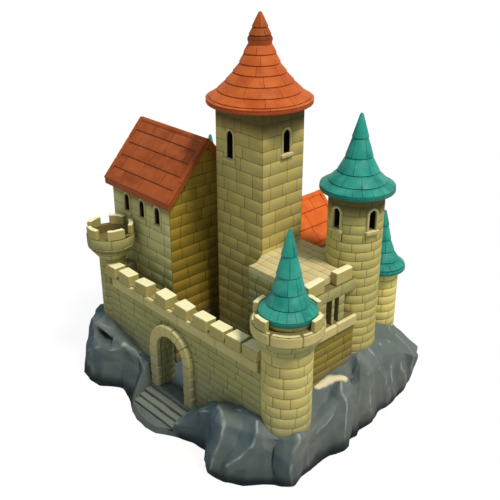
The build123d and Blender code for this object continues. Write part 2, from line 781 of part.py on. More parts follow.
write(
    flared_roof(
        front_tower_x, front_tower_y, front_tower_eave_z, front_tower_roof_r, front_tower_roof_height,
        front_tower_r - tower_wall, roof_tip_r, cone_shares,
    ),
    "front_tower_roof",
)

# Right tower with its two upper windows, and the two rear towers
write(
    tube(right_tower_x, right_tower_y, right_tower_r, tower_wall, court_z, right_tower_window_z),
    "right_tower_shaft",
)
right_spring_z = right_tower_window_z + right_tower_window_height - right_tower_window_width / 2
right_piers = tube(
    right_tower_x, right_tower_y, right_tower_r, tower_wall, right_tower_window_z, right_spring_z
)
right_heads = tube(
    right_tower_x, right_tower_y, right_tower_r, tower_wall, right_spring_z, right_tower_eave_z
)
for angle in right_tower_window_angles:
    out_x = cos(radians(angle))
    out_y = sin(radians(angle))
    window_plane = Plane(
        origin=(
            right_tower_x + right_tower_r * out_x,
            right_tower_y + right_tower_r * out_y,
            right_tower_window_z,
        ),
        x_dir=(-out_y, out_x, 0),
        z_dir=(out_x, out_y, 0),
    )
    window_cutter = arched_cutter(
        window_plane, right_tower_window_width, right_tower_window_height, tower_wall + cut_overrun
    )
    right_piers -= window_cutter
    right_heads -= window_cutter
write(right_piers, "right_tower_window_piers")
write(right_heads, "right_tower_window_heads")
right_room_r = right_tower_r - tower_wall - seat_clearance
write(
    post(right_tower_x, right_tower_y, right_room_r, right_tower_floor_z - floor_thick, right_tower_floor_z),
    "right_tower_floor",
)
for name, tower_x, tower_y, tower_r, eave_z, roof_r, roof_height in (
    ("right_tower", right_tower_x, right_tower_y, right_tower_r, right_tower_eave_z,
     right_tower_roof_r, right_tower_roof_height),
    ("rear_tower", rear_tower_x, rear_tower_y, rear_tower_r, rear_tower_eave_z,
     rear_tower_roof_r, rear_tower_roof_height),
    ("far_tower", far_tower_x, far_tower_y, far_tower_r, far_tower_eave_z,
     far_tower_roof_r, far_tower_roof_height),
):
    write(
        flared_roof(
            tower_x, tower_y, eave_z, roof_r, roof_height, tower_r - tower_wall, roof_tip_r, hat_shares
        ),
        f"{name}_roof",
    )
for name, tower_x, tower_y, tower_r, eave_z in (
    ("rear_tower", rear_tower_x, rear_tower_y, rear_tower_r, rear_tower_eave_z),
    ("far_tower", far_tower_x, far_tower_y, far_tower_r, far_tower_eave_z),
):
    write(tube(tower_x, tower_y, tower_r, tower_wall, court_z, eave_z), f"{name}_shaft")

# Corner turret: a slim shaft that corbels out to an open crenellated head
turret_in_r = turret_head_r - turret_parapet
with BuildPart() as turret:
    for radius, level in (
        (turret_r, court_z),
        (turret_r, turret_corbel_z),
        (turret_head_r, turret_drum_z),
        (turret_head_r, turret_sill_z),
    ):
        with BuildSketch(Plane.XY.offset(level)):
            with Locations((turret_x, turret_y)):
                RegularPolygon(radius, tower_sides)
    loft(ruled=True)
    with BuildSketch(Plane.XY.offset(turret_deck_z)):
        with Locations((turret_x, turret_y)):
            RegularPolygon(turret_in_r, tower_sides)
    extrude(amount=turret_sill_z - turret_deck_z, mode=Mode.SUBTRACT)
write(turret.part, "corner_turret")
write(
    crenel_ring(
        turret_x, turret_y, turret_head_r, turret_parapet, turret_sill_z,
        turret_merlon_height, turret_gap, turret_gap_count, turret_turn,
    ),
    "corner_turret_merlons",
)
link_left_x = turret_x - curtain_wall / 2
link = block(link_left_x, link_left_x + curtain_wall, turret_y, hall_front_y, court_z, walk_z)

# Back range behind the keep: two side walls, the rear gable and a gabled roof
range_x = (range_left_x + range_right_x) / 2
range_half = (range_right_x - range_left_x) / 2
range_pitch = (range_ridge_z - range_eave_z) / (range_half + range_overhang)
range_roof_drop = range_roof_thick * (1 + range_pitch**2) ** 0.5
range_plate_z = range_ridge_z - range_roof_drop - range_pitch * range_half
range_left = block(
    range_left_x, range_left_x + range_wall, keep_back_y, back_inner_y, court_z, range_plate_z
)
range_right = block(
    range_right_x - range_wall, range_right_x, keep_back_y, back_inner_y, court_z, range_plate_z
)
write(range_left + range_right, "range_side_walls")


def range_section(low_y, high_y, points):
    """A prism along Y between two places, from its outline in X and Z."""
    with BuildPart() as piece:
        with BuildSketch(Plane.XZ.offset(-low_y)):
            with BuildLine():
                Polyline(*points, close=True)
            make_face()
        extrude(amount=low_y - high_y)
    return piece.part


range_gable_points = [
    (range_left_x, court_z),
    (range_right_x, court_z),
    (range_right_x, range_plate_z),
    (range_x, range_ridge_z - range_roof_drop),
    (range_left_x, range_plate_z),
]
write(range_section(back_inner_y, back_y, range_gable_points), "range_gable")
range_roof_points = [
    (range_left_x - range_overhang, range_eave_z),
    (range_x, range_ridge_z),
    (range_right_x + range_overhang, range_eave_z),
    (range_right_x + range_overhang, range_eave_z - range_roof_drop),
    (range_x, range_ridge_z - range_roof_drop),
    (range_left_x - range_overhang, range_eave_z - range_roof_drop),
]
write(range_section(keep_back_y, back_y + range_overhang, range_roof_points), "range_roof")

# Rear curtain walls, with merlons like the front ones
left_block = block(left_x, left_x + back_thick, hall_back_y, back_y, court_z, walk_z)
write((left_block - far_tower_post) + (link - turret_post), "left_wall")
rear_left_x = left_x + back_thick
with BuildPart() as back_wall:
    with BuildSketch(Plane.XY.offset(court_z)):
        for low_x, high_x in ((rear_left_x, range_left_x), (range_right_x, rear_tower_x)):
            with Locations(((low_x + high_x) / 2, (back_inner_y + back_y) / 2)):
                Rectangle(high_x - low_x, back_thick)
    extrude(amount=walk_z - court_z)
write(back_wall.part - rear_tower_post, "back_wall")
rear_side_x = rear_tower_x - back_thick / 2
rear_side = block(
    rear_side_x, rear_side_x + back_thick, right_tower_y, back_inner_y, court_z, walk_z
)
write(rear_side - right_tower_post - rear_tower_post, "rear_side_wall")
with BuildPart() as rear_merlons:
    with BuildSketch(Plane.XY.offset(walk_z)):
        for low_x, high_x in ((rear_left_x, range_left_x), (range_right_x, rear_tower_x)):
            places = int((high_x - low_x) // rear_merlon_pitch)
            for place in range(places):
                merlon_x = low_x + rear_merlon_pitch * (place + 1 / 2)
                with Locations((merlon_x, back_y - rear_merlon_depth / 2)):
                    Rectangle(rear_merlon_width, rear_merlon_depth)
    extrude(amount=rear_merlon_height)
write(rear_merlons.part - rear_tower_post, "rear_merlons")

# Pale dressings round the windows: raised round-headed surrounds over plain sills


def window_surround(plane, width, height):
    """A raised round-headed frame on a wall's face, round one window."""
    with BuildPart() as piece:
        with BuildSketch(plane):
            with BuildLine():
                Polyline(*arch_outline(width + surround_width * 2, height + surround_width), close=True)
            make_face()
            with BuildLine():
                Polyline(*arch_outline(width, height), close=True)
            make_face(mode=Mode.SUBTRACT)
        extrude(amount=surround_proud)
    return piece.part


def window_sill(plane, width):
    """A plain block under one window, wider than its surround."""
    with BuildPart() as piece:
        with BuildSketch(plane):
            with Locations((0, -sill_height / 2 - seat_clearance)):
                Rectangle(width + surround_width * 3, sill_height)
        extrude(amount=sill_proud)
    return piece.part


dressed_windows = [(plane, hall_window_width, hall_window_height) for plane in hall_window_planes]
dressed_windows += [
    (keep_front_plane, keep_window_width, keep_window_height),
    (keep_right_plane, keep_window_width, keep_right_window_height),
]
surrounds = [window_surround(plane, width, height) for plane, width, height in dressed_windows]
write(surrounds[0] + surrounds[1:], "window_surrounds")
sills = [window_sill(plane, width) for plane, width, height in dressed_windows]
write(sills[0] + sills[1:], "window_sills")
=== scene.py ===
from collections import namedtuple
from itertools import pairwise

import bpy
import numpy as np
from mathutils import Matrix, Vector


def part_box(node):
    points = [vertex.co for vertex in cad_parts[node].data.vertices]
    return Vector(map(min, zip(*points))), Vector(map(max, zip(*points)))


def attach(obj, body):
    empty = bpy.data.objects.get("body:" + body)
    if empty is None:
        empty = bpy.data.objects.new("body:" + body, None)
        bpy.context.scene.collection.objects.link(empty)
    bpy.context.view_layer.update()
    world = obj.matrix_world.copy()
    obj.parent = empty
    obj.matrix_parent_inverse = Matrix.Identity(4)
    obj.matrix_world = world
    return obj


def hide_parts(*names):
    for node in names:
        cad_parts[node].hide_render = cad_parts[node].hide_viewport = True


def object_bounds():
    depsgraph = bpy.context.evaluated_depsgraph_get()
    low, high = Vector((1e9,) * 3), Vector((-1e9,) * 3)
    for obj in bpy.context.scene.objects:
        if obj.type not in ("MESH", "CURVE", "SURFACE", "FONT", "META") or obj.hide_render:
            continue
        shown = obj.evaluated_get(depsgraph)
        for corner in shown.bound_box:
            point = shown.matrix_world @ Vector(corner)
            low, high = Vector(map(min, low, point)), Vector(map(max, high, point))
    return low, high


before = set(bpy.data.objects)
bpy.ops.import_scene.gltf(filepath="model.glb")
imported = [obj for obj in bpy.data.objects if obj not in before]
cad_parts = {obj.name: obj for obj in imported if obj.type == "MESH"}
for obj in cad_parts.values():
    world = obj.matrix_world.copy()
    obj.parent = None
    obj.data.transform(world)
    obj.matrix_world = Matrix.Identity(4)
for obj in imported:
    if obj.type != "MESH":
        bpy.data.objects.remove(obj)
cad_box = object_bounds()

# View and light: the castle stands on a pale floor, seen from above its front right corner.
# A warm lamp high on the right lights the gallery side, and a cool dome fills the gate front.
scene = bpy.context.scene
scene.view_settings.view_transform = "Standard"
eye = Vector((37.91, -34.40, 36.38))
look_at = Vector((-13.2, 13.8, 2.5))
camera_data = bpy.data.cameras.new("view")
camera_data.sensor_width = 36.0
camera_data.lens = 56.16
camera_data.clip_end = 1500.0
camera = bpy.data.objects.new("view", camera_data)
camera.location = eye
camera.rotation_euler = (look_at - eye).to_track_quat("-Z", "Y").to_euler()
scene.collection.objects.link(camera)
scene.camera = camera


def paint(red, green, blue):
    """A screen colour, 0 to 255, as the linear colour that a shader takes."""
    share = np.array([red, green, blue]) / 255
    linear = np.where(share < 0.04045, share / 12.92, ((share + 0.055) / 1.055) ** 2.4)
    return (*linear.tolist(), 1.0)


def shade(tree, kind, inputs=(), **settings):
    """One shader node: settings are its own, inputs are values or other nodes' outputs by socket."""
    made = tree.nodes.new("ShaderNode" + kind)
    for key, value in settings.items():
        setattr(made, key, value)
    for key, value in dict(inputs).items():
        if isinstance(value, bpy.types.NodeSocket):
            tree.links.new(value, made.inputs[key])
        else:
            made.inputs[key].default_value = value
    return made


def reckon(tree, operation, *values):
    """The result of one arithmetic node."""
    return shade(tree, "Math", dict(enumerate(values)), operation=operation).outputs[0]


def shown(tree):
    """1 for rays from the eye, straight or by way of a mirror or glass, and 0 for light that only fills."""
    rays = shade(tree, "LightPath").outputs
    clear = reckon(tree, "MAXIMUM", rays["Is Glossy Ray"], rays["Is Transmission Ray"])
    return reckon(tree, "MAXIMUM", rays["Is Camera Ray"], clear)


lamp_data = bpy.data.lights.new("high_right_lamp", "SUN")
lamp_data.energy = 2.7
lamp_data.angle = 0.2
lamp_data.color = (1.0, 0.93, 0.82)
lamp = bpy.data.objects.new("high_right_lamp", lamp_data)
lamp.rotation_euler = Vector((-0.46, -0.03, -0.887)).to_track_quat("-Z", "Y").to_euler()
scene.collection.objects.link(lamp)

world = bpy.data.worlds.new("dome")
scene.world = world
world.use_nodes = True
world.node_tree.nodes.clear()
dome = shade(world.node_tree, "Background", {"Color": (0.78, 0.95, 1.0, 1.0), "Strength": 0.36})
backdrop = shade(world.node_tree, "Background", {"Color": (1.0, 1.0, 1.0, 1.0), "Strength": 1.0})
direct = shown(world.node_tree)
seen = shade(world.node_tree, "MixShader", {0: direct, 1: dome.outputs[0], 2: backdrop.outputs[0]})
shade(world.node_tree, "OutputWorld", {"Surface": seen.outputs[0]})

floor_reach = 600.0
floor_drop = 0.01
floor_glow_share = 0.85
floor_corners = np.array([[-1, -1, 0], [1, -1, 0], [1, 1, 0], [-1, 1, 0]]) * floor_reach
floor_corners[:, 2] = cad_box[0].z - floor_drop
floor_mesh = bpy.data.meshes.new("pale_floor")
floor_mesh.from_pydata(floor_corners.tolist(), [], [(0, 1, 2, 3)])
floor_finish = bpy.data.materials.new("pale_floor")
floor_finish.use_nodes = True
floor_tree = floor_finish.node_tree
floor_tree.nodes.clear()
floor_lit = shade(floor_tree, "BsdfDiffuse", {"Color": (0.6, 0.6, 0.6, 1.0)}).outputs[0]
floor_glow = shade(floor_tree, "Emission", {"Color": (1.0, 1.0, 1.0, 1.0), "Strength": 1.08}).outputs[0]
floor_soft = shade(floor_tree, "MixShader", {0: floor_glow_share, 1: floor_lit, 2: floor_glow}).outputs[0]
floor_seen = shade(floor_tree, "MixShader", {0: shown(floor_tree), 1: floor_lit, 2: floor_soft}).outputs[0]
shade(floor_tree, "OutputMaterial", {"Surface": floor_seen})
floor_mesh.materials.append(floor_finish)
floor = bpy.data.objects.new("pale_floor", floor_mesh)
scene.collection.objects.link(floor)

# Crag: the blue grey rock that the walls stand on, one worn mass with upright ridges and a flat
# underside. Its level top inside the walls is the ground of the courts.
crag_middle = np.array([-0.5, 2.4])
crag_belly_height = 1.3
crag_belly_share = 0.35
crag_belly_swell = 1.012
# Round the crag: the foot's x and y, then x, y and height of the brow and of the top at the walls
crag_columns = np.array([
    (-9.8, -8.2, -9.7, -7, 4.7, -9, -5.2, 5.3), (-8.5, -8.5, -8.4, -7.1, 4.4, -8, -5.2, 4.7),
    (-7, -8.2, -6.9, -6.9, 4.1, -6.6, -5.2, 4.3), (-5.6, -7.3, -5.6, -6.5, 3.7, -5.4, -5.2, 3.8),
    (-4.5, -7.55, -4.3, -6.4, 3.2, -4.2, -5.2, 3.5), (-2.9, -8.2, -3.3, -6.6, 2.9, -3.2, -5.2, 3.8),
    (-1.75, -8.7, -1.8, -7.2, 1.7, -1.8, -5.2, 1.7), (-0.6, -8.8, -0.6, -7.2, 1.7, -0.6, -5.2, 1.7),
    (0.6, -8.45, 0.6, -7.2, 1.7, 0.6, -5.2, 1.7), (1.7, -7.9, 2, -7.2, 1.7, 2.3, -5.2, 2),
    (3.1, -7.4, 3.4, -6.65, 2.7, 3.6, -5.2, 3.3), (4.4, -7.1, 4.9, -6.5, 3.6, 5, -5.2, 3.9),
    (5.2, -7.7, 5.8, -7.2, 3.7, 6.2, -5.2, 4.4), (6.2, -8.35, 6.8, -7.4, 3.9, 7, -5.2, 4.6),
    (7.8, -8.35, 8, -7.1, 4, 8, -5.2, 4.7), (8.9, -7.6, 9.15, -6.7, 4, 8.9, -5.4, 4.6),
    (10, -6.3, 10.25, -6.1, 3.9, 9.6, -5.2, 4.3), (11, -5.1, 11.1, -5.15, 3.95, 10.3, -4.5, 4.2),
    (11, -3.9, 11.25, -3.9, 3.8, 10.4, -3.8, 4.1), (10.9, -2.3, 10.7, -2.2, 3.6, 8.2, -1.6, 4.3),
    (10.9, -0.4, 10.45, -0.2, 3.8, 8, -0.2, 4.5), (10.9, 1, 10.55, 0.9, 4.2, 8, 1.2, 4.9),
    (10.4, 2.4, 9.85, 2.4, 3.8, 8, 2.6, 5.3), (10.5, 3.9, 10.3, 3.9, 4.6, 8.2, 4.3, 6),
    (10, 5.4, 9.75, 5.5, 4.7, 8.2, 5.6, 6), (9.8, 7.6, 10.1, 7.3, 4.5, 6.6, 7.5, 5.5),
    (9.1, 9.6, 10.45, 8.95, 3.45, 6.6, 9, 5.5), (8.6, 11.1, 9.4, 10.6, 3.2, 6.2, 9.6, 5.3),
    (5.2, 11.1, 5.6, 10.8, 4.2, 5, 8.6, 5), (2, 10.8, 2, 10.3, 4, 2, 8.4, 4.7),
    (-1.2, 11, -1.2, 10.4, 4.3, -1.2, 8.4, 4.9), (-4.5, 10.6, -4.5, 10.1, 4, -4.5, 8.4, 4.8),
    (-7.6, 10.7, -7.5, 10.1, 4.3, -7.5, 8.4, 4.9), (-10.4, 9.9, -10.3, 9.4, 4.2, -10.2, 8.3, 4.9),
    (-12.3, 8, -12.2, 7.9, 4.2, -10.9, 7.2, 5), (-12.6, 5.2, -12.3, 5.2, 4.3, -10.5, 5.2, 5),
    (-12.2, 2.2, -11.8, 2.2, 4, -10.4, 2.2, 4.8), (-12.5, -0.8, -12.1, -0.8, 4.4, -10.4, -0.6, 5),
    (-12, -3.6, -11.6, -3.4, 4.2, -10.4, -2.6, 5), (-11.2, -6.2, -10.9, -5.7, 4.5, -9.4, -4.6, 5.2),
])
# Ridges stand out of the rock and creases lie in it: height, reach to each side, width of the streak
# along it (a painted highlight along a ridge, painted shade along a crease), then the line's points
crag_lines = (
    (0.3, 1.1, 0.1, (-9, -7.8, 2.2), (-7.6, -7.4, 3.1), (-6.6, -7, 3.2), (-5.9, -6.6, 3.6)),
    (0.3, 0.9, 0.12, (-5.9, -6.6, 3.8), (-4.9, -6.3, 3.5), (-4.2, -6.3, 3.2)),
    (0.5, 1.5, 0.12, (5.7, -6.6, 3.8), (7.1, -7.4, 3.8), (7, -7.7, 2.8), (6.9, -8.1, 1.5), (6.7, -8.3, 0.6)),
    (0.42, 1.4, 0.1, (8.6, -6.1, 4.3), (9.1, -6.6, 4), (9, -7, 3.1), (8.4, -7.5, 2.2), (7.9, -8, 1.4)),
    (0.25, 0.9, 0.07, (2, -7.7, 1.3), (3.5, -6.7, 2.7), (5.7, -6.5, 3.8), (7.2, -6, 4.4)),
    (0.4, 1.1, 0.12, (11.1, -5, 3.9), (11, -5.3, 3.1), (10.9, -5.5, 1.7), (10.9, -5.3, 0.3)),
    (0.35, 0.9, 0.1, (10.6, -1.2, 3.5), (10.7, -1.9, 3.1), (11, -3, 3.2)),
    (0.5, 1.2, 0.07, (8.7, -0.6, 4.3), (8.7, 0.6, 4.5), (9, 1.3, 4.6), (9.6, 1.4, 4.4)),
    (0.42, 1.3, 0.08, (9.4, 1, 4.6), (10.5, 0.2, 3.9), (10.7, 0.3, 2.7), (10.9, 0, 1.3), (11, 0, 0.3)),
    (0.24, 1, 0.06, (9, 3.5, 5.2), (10, 3.4, 4.4), (10.2, 3.4, 3.5), (10.4, 3.4, 2.2), (10.5, 3.4, 0.5)),
    (0.3, 1.1, 0.1, (8.8, 4.6, 5.6), (10.1, 4.7, 4.3), (9.9, 5.7, 2.7), (10, 5.9, 0.6)),
    (0.26, 1, 0.09, (8.9, 5.9, 5.4), (9.9, 6.2, 3.5), (10, 6.5, 2.3), (10, 6.9, 0.6)),
    (0.3, 1.1, 0.1, (8.6, 7, 5.3), (10.1, 7.2, 3.6), (10, 8, 2), (9.6, 8.4, 0.6)),
    (0.3, 1.2, 0.1, (8.6, 8.7, 4.6), (10.3, 8.5, 3.7), (10, 8.9, 2.1), (9.4, 9.6, 0.6)),
    (-0.25, 0.7, 0.12, (-4.4, -6.2, 3.3), (-3.7, -6.9, 2.4), (-4.3, -7.5, 0.7)),
    (-0.14, 0.6, 0.07, (10.2, -6.1, 3.5), (10.2, -6.2, 2.2), (10.3, -6.1, 0.6)),
    (-0.4, 0.6, 0.12, (9, 2.8, 5), (10.2, 2, 3.2), (10.8, 1.3, 0.2)),
    (-0.7, 0.5, 0.3, (-8.3, -7.2, 3.9), (-7.7, -7.2, 3.7), (-7.1, -7, 3.7)),
    (0.35, 1.2, 0.1, (-11, -5, 4.4), (-11.6, -4.4, 2.6), (-11.7, -4.6, 0.8)),
    (0.4, 1.3, 0.1, (-10.8, -1, 4.8), (-12, -0.4, 3.4), (-12.2, -0.9, 1.2)),
    (0.35, 1.2, 0.1, (-11.2, 4, 4.6), (-12.2, 4.6, 3), (-12.4, 4.2, 0.9)),
    (0.4, 1.2, 0.1, (-9, 9, 4.8), (-9.3, 9.9, 3.2), (-8.7, 10.4, 1)),
    (0.4, 1.3, 0.1, (-3, 9.2, 4.7), (-2.6, 10.3, 3), (-3.1, 10.7, 0.9)),
    (0.4, 1.3, 0.1, (3.4, 9.2, 4.7), (3.8, 10.3, 3.2), (3.4, 10.9, 1)),
    (-0.4, 0.6, 0.16, (-12, 1.9, 4), (-12.2, 2.3, 1)),
    (-0.4, 0.6, 0.16, (-5.8, 10, 4), (-6.1, 10.5, 1)),
    (-0.4, 0.6, 0.16, (0.4, 10.2, 4), (0.6, 10.8, 1)),
)
court_height = 1.5
gate_middle = -0.6


def lattice_key(cell, seed):
    """A whole number for each cell of a cubic lattice, from its place and a seed."""
    return cell @ np.array([73856093, 19349663, 83492791]) + seed * 7919


def rough(points, size, seed):
    """Smooth random heights from -1 to 1: hashed corners of a cubic lattice, blended by smoothstep."""
    grid = points / size
    cell = np.floor(grid).astype(np.int64)
    part = grid - cell
    part = part * part * (3 - 2 * part)
    total = np.zeros(points.shape[:-1])
    for corner in np.ndindex(2, 2, 2):
        key = lattice_key(cell + np.array(corner), seed)
        key = (key ^ (key >> 13)) * 1274126177 & 0x7FFFFFFF
        key = (key ^ (key >> 15)) * 69069 & 0x7FFFFFFF
        weight = np.prod(np.where(np.array(corner) == 1, part, 1 - part), axis=-1)
        total += weight * ((key >> 7) % 2048 / 1023.5 - 1)
    return total


def knapped(points, size, seed, tilt):
    """Heights of struck facets: bowls strewn one to a cell, each tilted at random, the lowest one kept.

    Gives that height, how far the next bowl lies above it and a random share for each facet, in cells.
    """
    grid = points / size
    cell = np.floor(grid).astype(np.int64)
    lowest = np.full(points.shape[:-1], 9.0)
    second, share = lowest.copy(), lowest.copy()
    for step in np.ndindex(3, 3, 3):
        home = cell + np.array(step) - 1
        key = lattice_key(home, seed)
        strewn = []
        for mix in (1274126177, 69069 * 31, 40503 * 977, 48271 * 613, 16807 * 991, 39373 * 557):
            turned = ((key ^ (key >> 11)) * mix) & 0x7FFFFFFF
            strewn.append(((turned ^ (turned >> 15)) >> 5) % 1024 / 1023)
        away = grid - home - np.stack(strewn[:3], -1)
        lean = (np.stack(strewn[3:], -1) - 0.5) * tilt
        bowl = 0.5 * (away**2).sum(-1) + (away * lean).sum(-1)
        lower = bowl < lowest
        second = np.where(lower, lowest, np.minimum(second, bowl))
        share = np.where(lower, strewn[3], share)
        lowest = np.minimum(lowest, bowl)
    return lowest, second - lowest, share


def from_line(points, line):
    """Distance of each point to the nearest of a line's straight pieces."""
    nearest = np.full(points.shape[:-1], 99.0)
    for start, stop in pairwise(np.array(line)):
        way = stop - start
        share = np.clip((points - start) @ way / (way @ way), 0, 1)
        nearest = np.minimum(nearest, np.linalg.norm(points - start - share[..., None] * way, axis=-1))
    return nearest


def round_trip(values, samples):
    """A closed line through its points in straight runs."""
    count = len(values)
    place = np.arange(samples) / samples * count
    start = place.astype(int)
    share = (place - start).reshape(-1, *[1] * (values.ndim - 1))
    return values[start % count] * (1 - share) + values[(start + 1) % count] * share


def step_up(value, low, high):
    """From 0 to 1 between two values, with level ends."""
    t = np.clip((value - low) / (high - low), 0, 1)
    return t * t * (3 - 2 * t)


def add_piece(name, points, faces, finish, slot_name, crease, **shares):
    """A mesh from arrays, riding on the castle, with named point attributes and each face's rise as sky."""
    mesh = bpy.data.meshes.new(name)
    mesh.from_pydata(np.asarray(points).reshape(-1, 3).tolist(), [], faces)
    for key, values in shares.items():
        layer = mesh.attributes.new(key, "FLOAT", "POINT")
        layer.data.foreach_set("value", np.asarray(values, np.float32).ravel())
    facing = np.empty(len(mesh.polygons) * 3)
    mesh.polygons.foreach_get("normal", facing)
    sky = mesh.attributes.new("sky", "FLOAT", "FACE")
    sky.data.foreach_set("value", np.clip(facing[2::3], 0, 1).astype(np.float32))
    mesh.materials.append(finish)
    mesh.shade_smooth()
    mesh.set_sharp_from_angle(angle=crease)
    piece = bpy.data.objects.new(name, mesh)
    scene.collection.objects.link(piece)
    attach(piece, "root")
    return piece


def blend_colours(tree, share, low, high, kind="MIX"):
    """A colour between two, or one laid over the other in the named way, by a share.

    Each is a node's output, a screen colour of three values or a linear one of four.
    """
    low, high = (paint(*end) if isinstance(end, tuple) and len(end) == 3 else end for end in (low, high))
    made = shade(tree, "Mix", {0: share, 6: low, 7: high}, data_type="RGBA", blend_type=kind)
    return made.outputs[2]


def spread(tree, value, low, high, first=0.0, last=1.0):
    """A value stretched so that low becomes the first value and high the last."""
    return shade(tree, "MapRange", {0: value, 1: low, 2: high, 3: first, 4: last}).outputs[0]


def attribute(tree, name):
    """A mesh's own values by name."""
    return shade(tree, "Attribute", attribute_name=name).outputs["Fac"]


def start_finish(name):
    """A new material with its shader, and the object's own coordinates for its patterns."""
    finish = bpy.data.materials.new(name)
    finish.use_nodes = True
    tree = finish.node_tree
    tree.nodes.clear()
    shader = shade(tree, "BsdfPrincipled", {"Specular IOR Level": 0.15})
    shade(tree, "OutputMaterial", {"Surface": shader.outputs[0]})
    place = shade(tree, "TexCoord").outputs["Object"]
    return finish, tree, shader, place


def noise(tree, place, scale, detail=3.0, roughness=0.55):
    """Cloudy variation at a scale in turns per metre."""
    made = shade(tree, "TexNoise", {"Vector": place, "Scale": scale, "Detail": detail, "Roughness": roughness})
    return made.outputs["Fac"]


def end_finish(tree, shader, place, colour, roughness, strength, depth, *grain):
    """Gives a material its colour and roughness, and fine relief of a strength and depth from cloudy grain."""
    relief = {"Strength": strength, "Distance": depth, "Height": noise(tree, place, *grain)}
    tree.links.new(colour, shader.inputs["Base Color"])
    tree.links.new(shade(tree, "Bump", relief).outputs[0], shader.inputs["Normal"])
    shader.inputs["Roughness"].default_value = roughness


def out_of(points):
    """Unit vectors out of a surface of closed rings, across the ways round it and up it."""
    along = np.roll(points, -1, 1) - np.roll(points, 1, 1)
    out = np.cross(along, np.gradient(points, axis=0))
    return out / (np.linalg.norm(out, axis=-1, keepdims=True) + 1e-9)


rock_finish, tree, shader, place = start_finish("crag_rock")
chips = spread(tree, noise(tree, place, 1.4, 3.0), 0.25, 0.5)
# Over the body: random patches, tops painted lighter as lit, painted shade, pale ridge lines that are partly
# edge wear and partly painted highlight, and a cream patch of painted light
rock_layers = (
    (spread(tree, noise(tree, place, 0.9, 5.0, 0.6), 0.40, 0.66, 0.0, 0.5), (86, 98, 104)),
    (spread(tree, attribute(tree, "sky"), 0.3, 0.95, 0.0, 0.25), (108, 116, 116)),
    (attribute(tree, "painted_shade"), (12, 22, 26)),
    (reckon(tree, "MULTIPLY", attribute(tree, "ridge_wear_and_highlight"), chips), (164, 170, 166)),
    (attribute(tree, "cream"), (240, 230, 194)),
)
# Each facet's random tone, paler where the facet share carries painted light on sides facing the lamp
body = blend_colours(tree, attribute(tree, "facet"), (60, 84, 95), (112, 118, 112))
for share, colour in rock_layers:
    body = blend_colours(tree, share, body, colour)
end_finish(tree, shader, place, body, 0.8, 0.5, 0.05, 3.2, 8.0, 0.65)

# The mass: rings from foot to top, smoothed
crag_turns = 800
crag_rows = 92
ring_rows = [0, 20, 60, crag_rows - 1]
crag_feet = np.column_stack([crag_columns[:, :2], np.zeros(len(crag_columns))])
crag_brows, crag_tops = crag_columns[:, 2:5], crag_columns[:, 5:]
crag_bellies = crag_feet * (1 - crag_belly_share) + crag_brows * crag_belly_share
crag_bellies[:, :2] = crag_middle + (crag_bellies[:, :2] - crag_middle) * crag_belly_swell
crag_bellies[:, 2] = crag_belly_height
crag_rings = (crag_feet, crag_bellies, crag_brows, crag_tops)
crag_levels = np.stack([round_trip(ring, crag_turns) for ring in crag_rings])
row_place = np.interp(np.arange(crag_rows), ring_rows, range(len(crag_rings)))
row_start = np.minimum(row_place.astype(int), len(crag_levels) - 2)
row_share = (row_place - row_start)[:, None, None]
crag_points = crag_levels[row_start] * (1 - row_share) + crag_levels[row_start + 1] * row_share
for smoothing in range(3):
    crag_points[1:-1] = (crag_points[:-2] + 2 * crag_points[1:-1] + crag_points[2:]) / 4
    crag_points = (np.roll(crag_points, 1, 1) + 2 * crag_points + np.roll(crag_points, -1, 1)) / 4

# Its relief: struck facets, then the ridges and creases, faded towards the walls
crag_bend = 0.16
facet_size = 2.4
facet_tilt = 0.9
facet_depth = 0.7
facet_level = 0.08
ridge_level = 0.10
fade_row = 70
bent = crag_points + crag_bend * np.stack([rough(crag_points, 0.9, seed) for seed in (11, 12, 13)], -1)
deep, ridge, facet_share = knapped(bent * (1.0, 1.0, 0.55), facet_size, 4, facet_tilt)
swell = facet_depth * (deep - facet_level) + 0.05 * rough(crag_points, 0.8, 8)
# Pale lines on some facet ridges, partly edge wear and partly painted highlight
crag_ridge_wear_and_highlight = 0.35 * np.clip(1 - ridge * 16, 0, 1) * step_up(rough(crag_points, 1.6, 21), 0.15, 0.6)
# Painted shade along the creases and in the dent
crag_painted_shade = np.zeros(swell.shape)
ridge_swell = np.zeros(swell.shape)
for height, reach, streak, *line in crag_lines:
    away = from_line(bent, line)
    if height > 0:
        ridge_swell = np.maximum(ridge_swell, height * (1 - away / reach))
        crag_ridge_wear_and_highlight = np.maximum(crag_ridge_wear_and_highlight, np.exp(-((away / streak) ** 2 * 2)))
    else:
        swell += height * np.clip(1 - away / reach, 0, 1)
        crag_painted_shade = np.maximum(crag_painted_shade, np.exp(-((away / streak) ** 2)))
swell += ridge_swell - ridge_level
row_fade = np.interp(np.arange(crag_rows), [0, fade_row, crag_rows - 1], [1, 1, 0.15])[:, None]
crag_points = crag_points + out_of(crag_points) * (swell * row_fade)[..., None]
crag_points[0, :, 2] = 0
crag_points[..., 2] = np.maximum(crag_points[..., 2], 0)

# The approach: rock cut down under the steps, between flanks on both sides
approach_y = -4.9
landing_y = -6.25
landing_drop = 0.02
approach_foot = 0.58
approach_half = 2.38
flank_edge = 2.9
flank_height = 5.0
across, depth, height = np.moveaxis(crag_points, -1, 0)
from_gate = np.abs(across - gate_middle)
before_wall = depth < approach_y
landing = np.where(depth > landing_y, court_height - landing_drop, approach_foot)
flank = step_up(from_gate, approach_half, flank_edge) * flank_height
crag_points[..., 2] = np.where(before_wall, np.minimum(height, landing + flank), height)
court_ring = crag_points[-1].copy()
court_ring[:, 2] = court_height
crag_all = np.concatenate([crag_points, court_ring[None]])
index = np.arange(len(crag_all) * crag_turns).reshape(-1, crag_turns)
beside = np.roll(index, -1, 1)
crag_faces = np.stack([index[:-1], beside[:-1], beside[1:], index[1:]], -1).reshape(-1, 4).tolist()
crag_faces += [index[-1].tolist(), index[0][::-1].tolist()]
